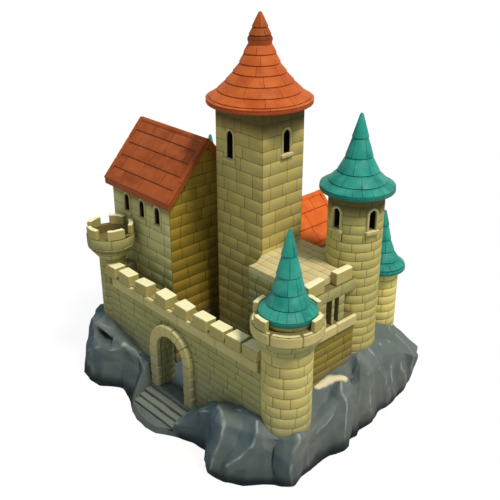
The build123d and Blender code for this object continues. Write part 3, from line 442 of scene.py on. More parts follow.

# Its colours: painted shade at the foot and over the lower rock, painted light on the sides that face
# the lamp on the right and on the cut approach, and a cream patch of painted light on the ledge
# Painted shade over the foot and the lower rock
painted_foot_shade = 1 - step_up(height + 0.2 * rough(crag_points, 0.9, 5), 0.15, 1.5)
low_shade = 1 - step_up(height, 0.6, 3.4)
crag_ridge_wear_and_highlight *= 1 - np.maximum(painted_foot_shade, 0.5 * low_shade)
crag_painted_shade = np.maximum(crag_painted_shade, np.maximum(0.97 * painted_foot_shade, 0.32 * low_shade))
# Facet share: a random tone per facet, raised as painted light on sides that face the lamp on the right
turned_out = out_of(crag_points)
facing_right = 0.6 * turned_out[..., 0] + 0.3 * turned_out[..., 1]
facet_share = np.clip(0.55 + facing_right + 0.5 * (facet_share - 0.5), 0, 1)
# The cut approach is freed of painted shade and painted as pale as the lit sides
approach = before_wall * (1 - step_up(from_gate, 2.2, flank_edge))
crag_painted_shade *= 1 - 0.8 * approach
facet_share = np.maximum(facet_share, 0.9 * approach)
# A cream patch of painted light on the ledge's upward faces
cream_line = ((8.7, -0.4, 4.35), (8.75, 0.2, 4.45), (8.95, 0.9, 4.55), (9.5, 1.2, 4.45))
cream_reach = from_line(bent, cream_line) + 0.12 * rough(crag_points, 0.35, 31)
crag_cream_light = 0.85 * (1 - step_up(cream_reach, 0.16, 0.42)) * step_up(turned_out[..., 2], 0.2, 0.6)
crag_shares = {
    "ridge_wear_and_highlight": crag_ridge_wear_and_highlight, "painted_shade": np.clip(crag_painted_shade, 0, 1), "facet": facet_share, "cream": crag_cream_light}
crag_shares = {key: np.concatenate([values, np.zeros((1, crag_turns))]) for key, values in crag_shares.items()}
crag = add_piece("crag_rock", crag_all, crag_faces, rock_finish, "crag_rock", 0.55, **crag_shares)
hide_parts("crag_base", "crag_front_left", "crag_front_right", "crag_right", "crag_back", "crag_left")

# Curtain walls: coursed sandstone blocks with worn arrises and shallow dark joints, laid on the
# wall cores course by course, on the outer face, the court face and the wall walk.
draw = np.random.default_rng(41)
stone_chamfer = 0.055
stone_proud = 0.035
joint_proud = 0.004
chamfer_limit = 0.3
thin_stone = 0.14
Box = namedtuple("Box", "left near foot right far head")


def box(node):
    """A node's box by its six sides."""
    low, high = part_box(node)
    return Box(*low, *high)


def join(*parts):
    """Arrays of x, y and z as one array of points."""
    return np.stack(np.broadcast_arrays(*parts), -1)


def on_face_y(face_y, side):
    """Wall coordinates x and z carried onto an upright face across Y, out of it to the given side."""
    return lambda u, v, out: join(u, face_y + side * out, v)


def on_face_x(face_x, side):
    """Wall coordinates y and z carried onto an upright face across X, out of it to the given side."""
    return lambda u, v, out: join(face_x + side * out, u, v)


def on_turn(x, y):
    """Angle, radius and height carried to the frame round an upright axis."""
    return lambda u, v, w: join(x + v * np.cos(u), y + v * np.sin(u), w)


def cut_out(block, holes):
    """What is left of a block, as left, right, foot and head, round the holes that it meets."""
    left, right, foot, head = block
    for near, far, sill, top in holes:
        if left < far and right > near and foot < top and head > sill:
            inner_left = max(left, near)
            inner_right = min(right, far)
            parts = [
                (left, near, foot, head), (far, right, foot, head),
                (inner_left, inner_right, foot, sill), (inner_left, inner_right, top, head),
            ]
            kept = [part for part in parts if part[1] - part[0] > thin_stone and part[3] - part[2] > thin_stone]
            return [piece for part in kept for piece in cut_out(part, holes)]
    return [block]


def course_levels(foot, head, course):
    """Heights that part a wall into whole courses, each about as high as asked."""
    return np.linspace(foot, head, max(1, round((head - foot) / course)) + 1)


def courses(low, high, levels, length, holes=(), edges=None):
    """Courses of blocks: joints staggered at random, holes cut out, ends clipped to sloping edges.

    A row gives left and right at the block's foot, left and right at its head, its foot and head.
    """
    rows = []
    for lower, upper in pairwise(levels):
        joints = [low]
        step = length * draw.uniform(0.4, 1.0)
        while joints[-1] + step < high - length * 0.35:
            joints.append(joints[-1] + step)
            step = length * draw.uniform(0.75, 1.25)
        for left, right in pairwise([*joints, high]):
            for near, far, sill, top in cut_out((left, right, lower, upper), holes):
                row = (near, far, near, far, sill, top)
                if edges:
                    low_left, low_right = edges(sill)
                    head_ends = np.clip((near, far), *edges(top))
                    row = (max(near, low_left), min(far, low_right), *head_ends, sill, top)
                if edges is None or row[1] - row[0] > thin_stone:
                    rows.append(row)
    return np.array(rows).reshape(-1, 6)


def lay_blocks(rows, place, columns=2, proud=stone_proud, chamfer=stone_chamfer, lift=0.0, side=None):
    """Chamfered closed blocks: on each, a grid whose rim lies low in the joint and whose middle is proud.

    place carries the two wall coordinates and the height off the wall to the frame. lift raises each
    block's foot, as on lapped tiles. Gives points, faces, joint shares (-1 at the upper edge, where the
    finish paints a highlight) and a tone for each block.
    """
    count = len(rows)
    left, right = rows[:, [0, 2]], rows[:, [1, 3]]
    foot, head = rows[:, 4], rows[:, 5]
    edge_v = np.minimum(chamfer, (head - foot) * chamfer_limit)
    levels = np.stack([foot, foot + edge_v, head - edge_v, head], 1)
    rise = (levels - foot[:, None]) / (head - foot)[:, None]
    low = left[:, :1] * (1 - rise) + left[:, 1:] * rise
    high = right[:, :1] * (1 - rise) + right[:, 1:] * rise
    edge_u = np.minimum(chamfer if side is None else side, (high - low) * chamfer_limit)
    inner = np.linspace(0, 1, columns)
    middle = (low + edge_u)[..., None] + (high - low - 2 * edge_u)[..., None] * inner
    across = np.concatenate([low[..., None], middle, high[..., None]], -1)
    rim = np.ones((4, columns + 2), bool)
    rim[1:-1, 1:-1] = False
    out = np.where(rim, joint_proud, proud) + np.where(rim, 0, lift * (1 - rise)[..., None])
    points = place(across, levels[..., None], out)
    index = np.arange(4 * (columns + 2)).reshape(4, columns + 2)
    quads = np.stack([index[:-1, :-1], index[:-1, 1:], index[1:, 1:], index[1:, :-1]], -1).reshape(-1, 4)
    loop = np.concatenate([index[0], index[1:, -1], index[-1, -2::-1], index[-2:0:-1, 0]])[::-1]
    one = points[0]
    facing = np.cross(one[1, 2] - one[1, 1], one[2, 1] - one[1, 1])
    if facing @ (place(across[:1, 1:2, 1:2], levels[:1, 1:2, None], np.ones(1)) - one[1, 1]).ravel() < 0:
        quads, loop = quads[:, ::-1], loop[::-1]
    starts = np.arange(count)[:, None] * index.size
    faces = (quads.ravel() + starts).reshape(-1, 4).tolist() + (loop + starts).tolist()
    tone = np.repeat(draw.uniform(0, 1, count), index.size)
    share = np.where(rim, 1.0, 0.0)
    # -1 marks the upper edge row, where the stone finish paints a highlight
    share[2, 1:-1] = -1.0
    joint = np.tile(share.ravel(), count)
    return points.reshape(-1, 3), faces, joint, tone


def face_blocks(around, side, foot, head, course, length, holes=(), edges=None, past=0.0):
    """Blocks in courses on a box's side, by its name, run past both ends of it by a length."""
    out = 1 if side in ("right", "far") else -1
    if side in ("near", "far"):
        low, high, place = around.left, around.right, on_face_y(getattr(around, side), out)
    else:
        low, high, place = around.near, around.far, on_face_x(getattr(around, side), out)
    rows = courses(low - past, high + past, course_levels(foot, head, course), length, holes, edges)
    return lay_blocks(rows, place)


def floor_blocks(around, top, course, length, edges=None, **cut):
    """Flags or boards in rows over a box's plan, on a level face."""
    levels = course_levels(around.near, around.far, course)
    rows = courses(around.left, around.right, levels, length, edges=edges)
    return lay_blocks(rows, lambda u, v, out: join(u, v, top + out), **cut)


def lay_stones(name, sets, finish, slot_name, worn=None):
    """One piece from several sets of blocks, its edges rounded as weather does, if a width is given."""
    starts = np.cumsum([0] + [len(points) for points, *_ in sets]).tolist()
    faces = [[corner + start for corner in face] for part, start in zip(sets, starts) for face in part[1]]
    points, joints, tones = (np.concatenate([part[key] for part in sets]) for key in (0, 2, 3))
    piece = add_piece(name, points, faces, finish, slot_name, 0.6, joint=joints, tone=tones)
    if worn:
        bevel = piece.modifiers.new("worn_edges", "BEVEL")
        bevel.width = worn
        bevel.segments = 3
        bevel.limit_method = "ANGLE"
        bevel.angle_limit = 0.6
        bevel.harden_normals = True
    return piece


def stone_finish(name, light, dark, joint_colour, stain, painted_top_light=None, eave=None, room=None):
    """Worn stone: a tone for each block, stains, grain, dark joints, a painted highlight on each block's
    upper edge, greyer and darker towards the foot, and if asked tops painted lighter as lit, a painted
    shadow in a band under the eave at a height, or painted shade over the reveals and rooms behind a
    plan's outer face.

    A room is the plan's middle, its half sizes and whether it is round.
    """
    finish, tree, shader, place = start_finish(name)
    joint = attribute(tree, "joint")
    level = shade(tree, "SeparateXYZ", {0: place}).outputs[2]
    ragged = reckon(tree, "MULTIPLY_ADD", noise(tree, place, 0.45), 3.0, level)
    clouds = spread(tree, noise(tree, place, 0.35, 4.0), 0.42, 0.72, 0.0, 0.45)
    pits = spread(tree, noise(tree, place, 7.0, 6.0, 0.7), 0.30, 0.55, 0.0, 0.4)
    # A painted highlight on each block's upper edge
    painted_edge_light = spread(tree, joint, -0.35, -1.0, 0.0, 0.32)
    colour = blend_colours(tree, reckon(tree, "MULTIPLY", attribute(tree, "tone"), 0.55), light, dark)
    colour = blend_colours(tree, clouds, colour, stain)
    colour = blend_colours(tree, 0.35, colour, blend_colours(tree, pits, stain, light))
    colour = blend_colours(tree, painted_edge_light, colour, (1.0, 0.93, 0.68, 1.0), "SOFT_LIGHT")
    # Greyer and darker towards the foot of the walls, then the dark joints
    layers = [(spread(tree, ragged, 5.2, 7.6, 0.55, 0.0), (112, 114, 100)), (joint, joint_colour)]
    # A painted shadow in a band under the eave
    if eave:
        layers.append((spread(tree, level, eave - 1.1, eave - 0.1, 0.0, 0.85), (72, 60, 30)))
    # Painted shade over the window reveals and the insides of rooms, inside the plan's outer face
    if room:
        middle, half, is_round = room
        offset = shade(tree, "VectorMath", {0: place, 1: (*middle, 0.0)}, operation="SUBTRACT").outputs[0]
        flat = {0: offset, 1: (1 / half[0], 1 / half[1], 0.0)}
        offset = shade(tree, "VectorMath", flat, operation="MULTIPLY").outputs[0]
        if is_round:
            share = shade(tree, "VectorMath", {0: offset}, operation="LENGTH").outputs["Value"]
        else:
            sides = shade(tree, "VectorMath", {0: offset}, operation="ABSOLUTE").outputs[0]
            sides = shade(tree, "SeparateXYZ", {0: sides}).outputs
            share = reckon(tree, "MAXIMUM", sides[0], sides[1])
        layers.append((spread(tree, share, 0.985, 0.96), (26, 23, 15)))
    # Tops painted lighter as lit
    if painted_top_light:
        layers.append((spread(tree, attribute(tree, "sky"), 0.55, 0.9), painted_top_light))
    for share, over in layers:
        colour = blend_colours(tree, share, colour, over)
    end_finish(tree, shader, place, colour, 0.82, 0.6, 0.02, 9.0, 8.0, 0.7)
    return finish


wall_joint = (112, 104, 62)
wall_finish = stone_finish("wall_stone", (174, 171, 119), (150, 145, 91), wall_joint, (136, 128, 74))
core_finish = stone_finish("wall_core", (132, 118, 74), (112, 100, 60), wall_joint, wall_joint)
shaded_finish = stone_finish("shaded_wall_stone", (150, 132, 64), (130, 114, 52), (84, 74, 34), (112, 98, 44))

curtain_course = 0.58
right_course = 0.63
curtain_block = 1.75
reveal_block = 0.65
vault_course = 0.6
vault_block = 0.55
front_flag = (0.6, 1.3)
right_flag = (1.2, 0.6)
rear_flag = (0.5, 1.3)
rail_gap = 0.07
right_past = 0.05
front = box("front_wall_right")._replace(left=box("front_wall_left").left)
right, back, left, side = (box(node) for node in ("right_wall", "back_wall", "left_wall", "rear_side_wall"))
hall = box("hall_gables")
range_walls = box("range_side_walls")
gallery = box("gallery_front_wall")
piers = box("gallery_piers")
cornice = box("curtain_cornices")
gate = box("front_wall_over_gate")
arch = box("gate_arch")
gate_half = (gate.right - gate.left) / 2
arch_half = (arch.right - arch.left) / 2
rail_shadow = cornice.foot - rail_gap


def gate_holes(head, share):
    """For each course up to a height, the gate's clear width there, widened by a share of the arch ring."""
    holes = []
    for lower, upper in pairwise(course_levels(front.foot, head, curtain_course)):
        clear = np.sqrt(max(gate_half**2 - max(lower - gate.foot, 0) ** 2, 0))
        ring = np.sqrt(max(arch_half**2 - max(upper - gate.foot, 0) ** 2, 0))
        half = clear * (1 - share) + max(ring, clear) * share
        if half > 0 and lower < gate.foot + gate_half:
            holes.append((gate_middle - half, gate_middle + half, lower - 0.001, upper + 0.001))
    return holes


def on_arch(u, v, w):
    """Angle, radius and depth carried onto the gate's half round."""
    return join(gate_middle + v * np.cos(u), w, gate.foot + v * np.sin(u))


curtain = (front.foot, front.head, curtain_course, curtain_block)
right_rows = (right_course, curtain_block)
curtain_sets = [
    face_blocks(front, "near", front.foot, rail_shadow, *curtain[2:], gate_holes(rail_shadow, 0.5)),
    face_blocks(front._replace(right=right.left), "far", *curtain, gate_holes(front.head, 0.0)),
    floor_blocks(front, front.head, *front_flag),
    face_blocks(right._replace(near=front.far, far=gallery.near), "left", front.foot, front.head, *right_rows),
    floor_blocks(right._replace(near=front.far, far=piers.near), front.head, *right_flag),
]
for low, high in ((back.left, range_walls.left), (range_walls.right, back.right)):
    run = back._replace(left=low, right=high)
    curtain_sets += [face_blocks(run, name, *curtain) for name in ("far", "near")]
    curtain_sets.append(floor_blocks(run, front.head, *rear_flag))
left_run = left._replace(near=hall.far, right=back.left, far=back.far)
curtain_sets += [
    face_blocks(left_run, "left", *curtain),
    face_blocks(left_run._replace(far=back.near), "right", *curtain),
    floor_blocks(left_run, front.head, *rear_flag),
    face_blocks(left_run, "far", *curtain),
    face_blocks(side, "right", *curtain),
    face_blocks(side, "left", *curtain),
    floor_blocks(side, front.head, *rear_flag[::-1]),
]
jamb_rows = course_levels(court_height, gate.foot, curtain_course)
for way in (-1, 1):
    reveal = courses(front.near, front.far, jamb_rows, reveal_block)
    curtain_sets.append(lay_blocks(reveal, on_face_x(gate_middle + way * gate_half, -way)))
vault = courses(0, np.pi * gate_half, course_levels(front.near, front.far, vault_course), vault_block)
curtain_sets.append(lay_blocks(vault, lambda u, v, out: on_arch(u / gate_half, gate_half - out, v)))
lay_stones("curtain_wall_stones", curtain_sets, wall_finish, "wall_stone")
right_run = right._replace(near=front.near, far=right.far + right_past)
right_stones = face_blocks(right_run, "right", front.foot, rail_shadow, *right_rows)
lay_stones("right_wall_stones", [right_stones], shaded_finish, "wall_stone")

# Towers, keep, hall and ranges: the same sandstone in taller courses, laid round the drums and
# over the gables, with the window openings left clear.
tower_course = 0.66
tower_block = 1.35
surround_width = 0.17
sill_depth = 0.24
# Each window's clear width, clear height and height of its sill
hall_window = (0.6, 1.4, 12.96)
keep_front_window = (0.64, 2.0, 18.4)
keep_right_window = (0.64, 1.7, 19.05)
tower_window = (0.56, 1.45, 14.9)
hall_window_x = (-9.0, -7.1, -5.2)
keep_front_window_x = -0.92
keep_right_window_y = 2.59
tower_window_turns = (-92, -15)
Drum = namedtuple("Drum", "x y radius foot head")


def drum(node):
    """The upright drum that fills a node's box."""
    around = box(node)
    x, y = (around.left + around.right) / 2, (around.near + around.far) / 2
    return Drum(x, y, (around.right - around.left) / 2, around.foot, around.head)


def round_courses(tower, foot, head, seam, course, holes=()):
    """Blocks round a tower between two heights, their first joint at the seam, in degrees."""
    start = np.radians(seam) * tower.radius
    levels = course_levels(foot, head, course)
    rows = courses(start, start + 2 * np.pi * tower.radius, levels, tower_block, holes)
    turn = on_turn(tower.x, tower.y)
    return lay_blocks(rows, lambda u, v, out: turn(u / tower.radius, tower.radius + out, v), columns=6)


def face_courses(*rows, **options):
    """Blocks on a box's side, run past both of its corners by as much as they stand proud."""
    return face_blocks(*rows, **options, past=stone_proud)


def window_hole(middle, width, height, sill):
    """The wall that a window takes up with its surround and its sill."""
    half = width / 2 + surround_width
    return middle - half, middle + half, sill - sill_depth, sill + height + surround_width


def plan(around):
    """A square building's plan for the painted shade inside it: its middle, its half sizes and that it isn't
    round.
    """
    middle = ((around.left + around.right) / 2, (around.near + around.far) / 2)
    return middle, ((around.right - around.left) / 2, (around.far - around.near) / 2), False


def gable_edges(middle, low, eave, ridge):
    """A gable's two sides at a height: upright to the eave, then along the roof's slopes."""
    pitch = (ridge - eave) / (middle - low)

    def sides(height):
        half = min(middle - low, max(ridge - height, 0) / pitch) + stone_proud
        return middle - half, middle + half

    return sides


keep = box("keep_front_wall")._replace(right=box("keep_right_wall").right, far=box("keep_back_wall").far)
keep_course = 0.92
keep_block = 1.55
keep_overhang = 0.95
keep_rows = (court_height, keep.head, keep_course, keep_block)
keep_sets = [
    face_courses(keep, "near", *keep_rows, [window_hole(keep_front_window_x, *keep_front_window)]),
    face_courses(keep, "right", *keep_rows, [window_hole(keep_right_window_y, *keep_right_window)]),
    face_courses(keep, "far", *keep_rows),
    face_courses(keep, "left", *keep_rows),
]
# The keep's stone, with a painted shadow under its eave and painted shade inside its walls
keep_finish = stone_finish(
    "keep_stone", (204, 187, 119), (176, 157, 91), (124, 110, 62), (154, 138, 74),
    eave=keep.head - keep_overhang, room=plan(keep))
lay_stones("keep_stones", keep_sets, keep_finish, "wall_stone")

hall_roof = box("hall_roof")
hall_eave = 15.15
hall_ridge = 19.2
hall_course = 0.905
hall_block = 1.7
hall_overhang = 0.3
hall_rows = (court_height, hall_eave, hall_course, hall_block)
hall_gable_rows = (court_height, hall_ridge, hall_course, hall_block)
hall_edges = gable_edges((hall_roof.near + hall_roof.far) / 2, hall.near, hall_eave, hall_ridge)
hall_holes = [window_hole(x, *hall_window) for x in hall_window_x]
hall_sets = [face_courses(hall, "near", *hall_rows, hall_holes), face_courses(hall, "far", *hall_rows)]
gable_sets = [face_courses(hall, name, *hall_gable_rows, edges=hall_edges) for name in ("right", "left")]
# The hall's stone, with a painted shadow under its eave and painted shade inside its walls
hall_stone_finish = stone_finish(
    "hall_stone", (222, 217, 160), (196, 187, 128), (126, 118, 70), (160, 152, 92),
    eave=hall_eave - hall_overhang, room=plan(hall))
# Both gables take a darker ochre copy of the hall's stone, painted shade for the keep's shadow
shaded_gable_finish = stone_finish("shaded_gable_stone", (168, 142, 56), (144, 120, 42), (86, 72, 24), (124, 104, 32))
lay_stones("hall_stones", hall_sets, hall_stone_finish, "wall_stone")
lay_stones("hall_gable_stones", gable_sets, shaded_gable_finish, "wall_stone")

front_tower = drum("front_tower_shaft")
crown = drum("front_tower_band")
right_tower = drum("right_tower_shaft")
rear_tower = drum("rear_tower_shaft")
far_tower = drum("far_tower_shaft")
front_tower_course = 0.76
lantern_course = 0.4
right_tower_eave = box("right_tower_window_heads").head
right_tower_overhang = 0.7
right_tower_holes = [
    window_hole(np.radians(turn) * right_tower.radius, *tower_window) for turn in tower_window_turns]
front_tower_finish = stone_finish(
    "front_tower_stone", (214, 200, 132), (186, 171, 102), (132, 120, 70), (164, 151, 86))
# The right tower's stone, with a painted shadow under its roof and painted shade inside it
right_tower_finish = stone_finish(
    "right_tower_stone", (205, 193, 125), (176, 162, 95), (124, 114, 66), (155, 142, 79),
    eave=right_tower_eave - right_tower_overhang,
    room=((right_tower.x, right_tower.y), (right_tower.radius, right_tower.radius), True))
# The rear towers take a brighter copy of the stone, painted as sunlit
sunlit_rear_tower_finish = stone_finish(
    "sunlit_rear_tower_stone", (242, 224, 142), (218, 198, 110), (130, 114, 60), (188, 170, 92))
lay_stones("front_tower_stones", [
    round_courses(front_tower, front_tower.foot, crown.foot, 135, front_tower_course),
    round_courses(front_tower, crown.head, front_tower.head, 135, lantern_course),
], front_tower_finish, "wall_stone")
lay_stones("right_tower_stones", [
    round_courses(right_tower, right_tower.foot, right_tower_eave, -195, tower_course, right_tower_holes),
], right_tower_finish, "wall_stone")
lay_stones("rear_tower_stones", [
    round_courses(rear_tower, rear_tower.foot, rear_tower.head, 180, tower_course),
    round_courses(far_tower, far_tower.foot, far_tower.head, -45, tower_course),
], sunlit_rear_tower_finish, "wall_stone")

parapet = box("gallery_parapet")
terrace = box("terrace")
range_roof = box("range_roof")
range_eave = 11.2
range_ridge = 13.8
range_block = 1.5
gallery_corner_y = -0.7
pier_spans = ((-1.5, 0.30), (0.93, 1.13), (1.63, 2.17))
gallery_rows = (terrace.foot, 0.62, 1.4)
pier_rows = (piers.foot, piers.head, 0.65, 1.2)
range_rows = (front.foot, range_eave, tower_course, range_block)
range_gable_rows = (front.foot, range_ridge, tower_course, range_block)
range_edges = gable_edges(
    (range_walls.left + range_walls.right) / 2, range_walls.left, range_eave, range_ridge)
gallery_run = gallery._replace(right=parapet.right, far=gallery_corner_y)
range_run = range_walls._replace(far=box("range_gable").far)
gallery_sets = [
    face_courses(gallery_run, "near", gallery.foot, *gallery_rows),
    face_courses(gallery_run, "left", court_height, *gallery_rows),
    face_courses(parapet, "right", parapet.foot, parapet.head, course=0.85, length=1.2),
    face_courses(range_run, "left", *range_rows),
    face_courses(range_run, "right", *range_rows),
    face_courses(range_run, "far", *range_gable_rows, edges=range_edges),
]
gallery_sets += [
    face_courses(piers._replace(near=near, far=far), "right", *pier_rows) for near, far in pier_spans]
lay_stones("gallery_stones", gallery_sets, wall_finish, "wall_stone")

# Roofs: lapped clay tiles in bands, each band's foot lifted over the one below. The tall roofs are
# turned flares in red or glazed teal, and the hall and the range have straight slopes with ridges.


def node_points(node):
    """A node's vertices as rows of x, y and z."""
    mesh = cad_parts[node].data
    points = np.empty(len(mesh.vertices) * 3)
    mesh.vertices.foreach_get("co", points)
    return points.reshape(-1, 3)


def outer_profile(node):
    """A turned roof's outline: the widest radius at each level of its vertices, hollows left out."""
    points = node_points(node)
    middle = np.array(drum(node)[:2])
    radius = np.hypot(*(points[:, :2] - middle).T)
    heights = np.unique(points[:, 2].round(3))
    widest = np.array([radius[np.abs(points[:, 2] - height) < 0.002].max() for height in heights])
    outer = widest >= np.maximum.accumulate(widest[::-1])[::-1] - 1e-6
    return middle, widest[outer], heights[outer]


def on_flare(middle, radii, heights):
    """Angle and length up the outline carried onto a turned roof, and that length's whole run."""
    run = np.concatenate([[0], np.cumsum(np.hypot(np.diff(radii), np.diff(heights)))])
    inward, rising = np.gradient(radii, run), np.gradient(heights, run)

    def carry(u, v, out):
        radius = np.interp(v, run, radii) + out * np.interp(v, run, rising)
        height = np.interp(v, run, heights) - out * np.interp(v, run, inward)
        return on_turn(*middle)(u, radius, height)

    return carry, run[-1]


def tile_flare(node, bands, tiles, lift):
    """Bands of tiles round a turned roof: shares of its run, tiles in each band, and the foot's lift.

    The first band is the rim, laid flat and given the joint colour as painted shade.
    """
    middle, radii, heights = outer_profile(node)
    carry, run = on_flare(middle, radii, heights)
    sets = []
    for (low, high), count in zip(pairwise(bands), tiles):
        start = draw.uniform(0, 2 * np.pi)
        joints = start + (np.arange(count + 1) + draw.uniform(-0.18, 0.18, count + 1)) * 2 * np.pi / count
        joints[-1] = joints[0] + 2 * np.pi
        foot, head = np.full(count, low * run), np.full(count, high * run)
        rows = np.stack([joints[:-1], joints[1:], joints[:-1], joints[1:], foot, head], 1)
        wide = np.hypot(*(carry(np.zeros(1), foot[:1], np.zeros(1))[0, :2] - middle))
        columns = max(2, int(np.ceil(36 / count)) + 1)
        cut = {"proud": 0.03, "chamfer": 0.04, "lift": lift if sets else 0.0, "side": 0.018 / wide}
        sets.append(lay_blocks(rows, carry, columns, **cut))
    # The rim band takes the joint colour as painted shade
    sets[0] = (*sets[0][:2], np.maximum(sets[0][2], 0.75), sets[0][3])
    return sets


def tile_finish(name, light, dark, joint_colour, mottle_and_sheen, roughness=0.6):
    """Fired clay: a tone for each tile, cloudy lighter patches that are partly mottling and partly painted
    sheen, dark joints and fine pitting.
    """
    finish, tree, shader, place = start_finish(name)
    clouds = spread(tree, noise(tree, place, 0.9, 5.0, 0.6), 0.40, 0.70)
    colour = blend_colours(tree, attribute(tree, "tone"), light, dark)
    # Cloudy lighter patches, partly mottling and partly painted sheen
    colour = blend_colours(tree, clouds, colour, mottle_and_sheen)
    colour = blend_colours(tree, attribute(tree, "joint"), colour, joint_colour)
    end_finish(tree, shader, place, colour, roughness, 0.3, 0.02, 8.0, 6.0, 0.65)
    return finish


red_finish = tile_finish("red_tile", (198, 96, 42), (174, 80, 33), (148, 64, 30), (208, 109, 52))
# The keep's cap takes a darker copy of the red tile, painted as shade
shaded_cap_finish = tile_finish("cap_tile", (166, 81, 33), (148, 69, 27), (108, 46, 20), (178, 93, 42))
hall_finish = tile_finish("hall_tile", (162, 79, 38), (138, 64, 29), (104, 46, 22), (172, 90, 44), 0.65)
# The range takes a brighter copy of the red tile, painted as sunlit
sunlit_range_finish = tile_finish("sunlit_range_tile", (222, 101, 38), (198, 87, 30), (180, 76, 30), (230, 114, 48))
teal_finish = tile_finish("teal_tile", (40, 146, 132), (30, 124, 115), (26, 108, 100), (66, 166, 149), 0.45)
# Each flare: the shares of its run where bands part, the tiles in each band and the lift of their feet
rear_bands = (0.0, 0.07, 0.20, 0.36, 0.54, 0.76, 0.99)
rear_tiles = (12, 18, 8, 6, 5, 3)
flares = (
    ("keep_tiles", red_finish, "red_tile", "keep_roof",
     (0.0, 0.045, 0.10, 0.25, 0.42, 0.58, 0.73, 0.87, 1.0), (14, 14, 9, 8, 7, 6, 5, 4), 0.06),
    ("keep_cap_tiles", shaded_cap_finish, "red_tile", "keep_roof_cap", (0.0, 0.16, 0.44, 0.98), (9, 5, 3), 0.05),
    ("front_tower_roof_tiles", teal_finish, "teal_tile", "front_tower_roof",
     (0.0, 0.045, 0.17, 0.32, 0.50, 0.72, 0.99), (12, 20, 9, 7, 5, 3), 0.05),
    ("right_tower_roof_tiles", teal_finish, "teal_tile", "right_tower_roof",
     (0.0, 0.045, 0.16, 0.31, 0.50, 0.72, 0.99), (12, 22, 10, 7, 5, 3), 0.05),
    ("rear_tower_roof_tiles", teal_finish, "teal_tile", "rear_tower_roof", rear_bands, rear_tiles, 0.05),
    ("far_tower_roof_tiles", teal_finish, "teal_tile", "far_tower_roof", rear_bands, rear_tiles, 0.05),
)
for name, finish, slot_name, *flare in flares:
    lay_stones(name, tile_flare(*flare), finish, slot_name)


def on_plane(origin, *ways):
    """Lengths along a plane, up it and out of it carried to the frame, by the three ways."""
    origin = np.array(origin)
    return lambda *lengths: origin + sum(
        np.asarray(length)[..., None] * np.array(way) for length, way in zip(lengths, ways))


def on_slope(origin, along, up):
    """Length along a roof and length up its slope carried onto a straight roof plane."""
    along, up = (np.array(way) / np.linalg.norm(way) for way in (along, up))
    out_way = np.cross(along, up)
    return on_plane(origin, along, up, out_way * np.sign(out_way[2]))


def slope_ends(roof, along_x, drop, side, end):
    """The eave's corner and the ridge's end at one end of one slope, and the way along the roof from there."""
    inward = -1 if end else 1
    if along_x:
        eave = (roof.right if end else roof.left, roof.far if side > 0 else roof.near, roof.head - drop)
        top = (eave[0], (roof.near + roof.far) / 2, roof.head)
        return Vector(eave), Vector(top), (inward, 0, 0)
    eave = (roof.right if side > 0 else roof.left, roof.far if end else roof.near, roof.head - drop)
    top = ((roof.left + roof.right) / 2, eave[1], roof.head)
    return Vector(eave), Vector(top), (0, inward, 0)


def tile_slopes(roof, along_x, drop, rows, length):
    """Both straight slopes of a gabled roof that fills a box: rows of tiles from eave to ridge."""
    reach = roof.right - roof.left if along_x else roof.far - roof.near
    sets = []
    for side in (-1, 1):
        eave, top, along = slope_ends(roof, along_x, drop, side, 0)
        tiles = courses(0, reach, np.linspace(0, (top - eave).length, rows + 1), length)
        carry = on_slope(eave, along, top - eave)
        sets.append(lay_blocks(tiles, carry, proud=0.03, chamfer=0.05, lift=0.06))
    return sets


def slope_drop(node, axis):
    """How far a roof's upper face falls from its ridge to the edge of its eave."""
    points = node_points(node)
    at_eave = points[:, axis] < points[:, axis].min() + 0.002
    return points[:, 2].max() - points[at_eave, 2].max()


hall_drop = slope_drop("hall_roof", 1)
range_drop = slope_drop("range_roof", 0)
hall_slopes = tile_slopes(hall_roof, along_x=True, drop=hall_drop, rows=5, length=2.9)
range_slopes = tile_slopes(range_roof, along_x=False, drop=range_drop, rows=3, length=2.4)
lay_stones("hall_tiles", hall_slopes, hall_finish, "red_tile")
lay_stones("range_tiles", range_slopes, sunlit_range_finish, "red_tile")

# Ridges and verges: half round tiles bedded along both ridges, and rounded tiles down the gable
# edges, all of the same clay as the slopes.
ridge_radius = 0.24
verge_foot = -0.02
verge_across = (-0.03, 0.34)
verge_deep = (-0.12, 0.14)


def on_ridge(middle, top, along_x):
    """Length across a ridge and length along it carried onto a half round with its crown at the top."""

    def carry(u, v, out):
        turn = u / ridge_radius
        side = middle + (ridge_radius + out) * np.sin(turn)
        height = top - ridge_radius * 0.75 + (ridge_radius + out) * np.cos(turn)
        return join(v, side, height) if along_x else join(side, v, height)

    return carry


def lay_ridge(roof, along_x, length):
    """Half round tiles end to end along a roof that fills a box."""
    start, stop, *sides = roof.left, roof.right, roof.near, roof.far
    if not along_x:
        (start, stop), sides = sides, (start, stop)
    ends = np.linspace(start, stop, round((stop - start) / length) + 1)
    reach = np.full(len(ends) - 1, ridge_radius * 1.9)
    rows = np.stack([-reach, reach, -reach, reach, ends[:-1], ends[1:]], 1)
    carry = on_ridge(sum(sides) / 2, roof.head, along_x)
    return lay_blocks(rows, carry, columns=9, proud=0.02, chamfer=0.05)


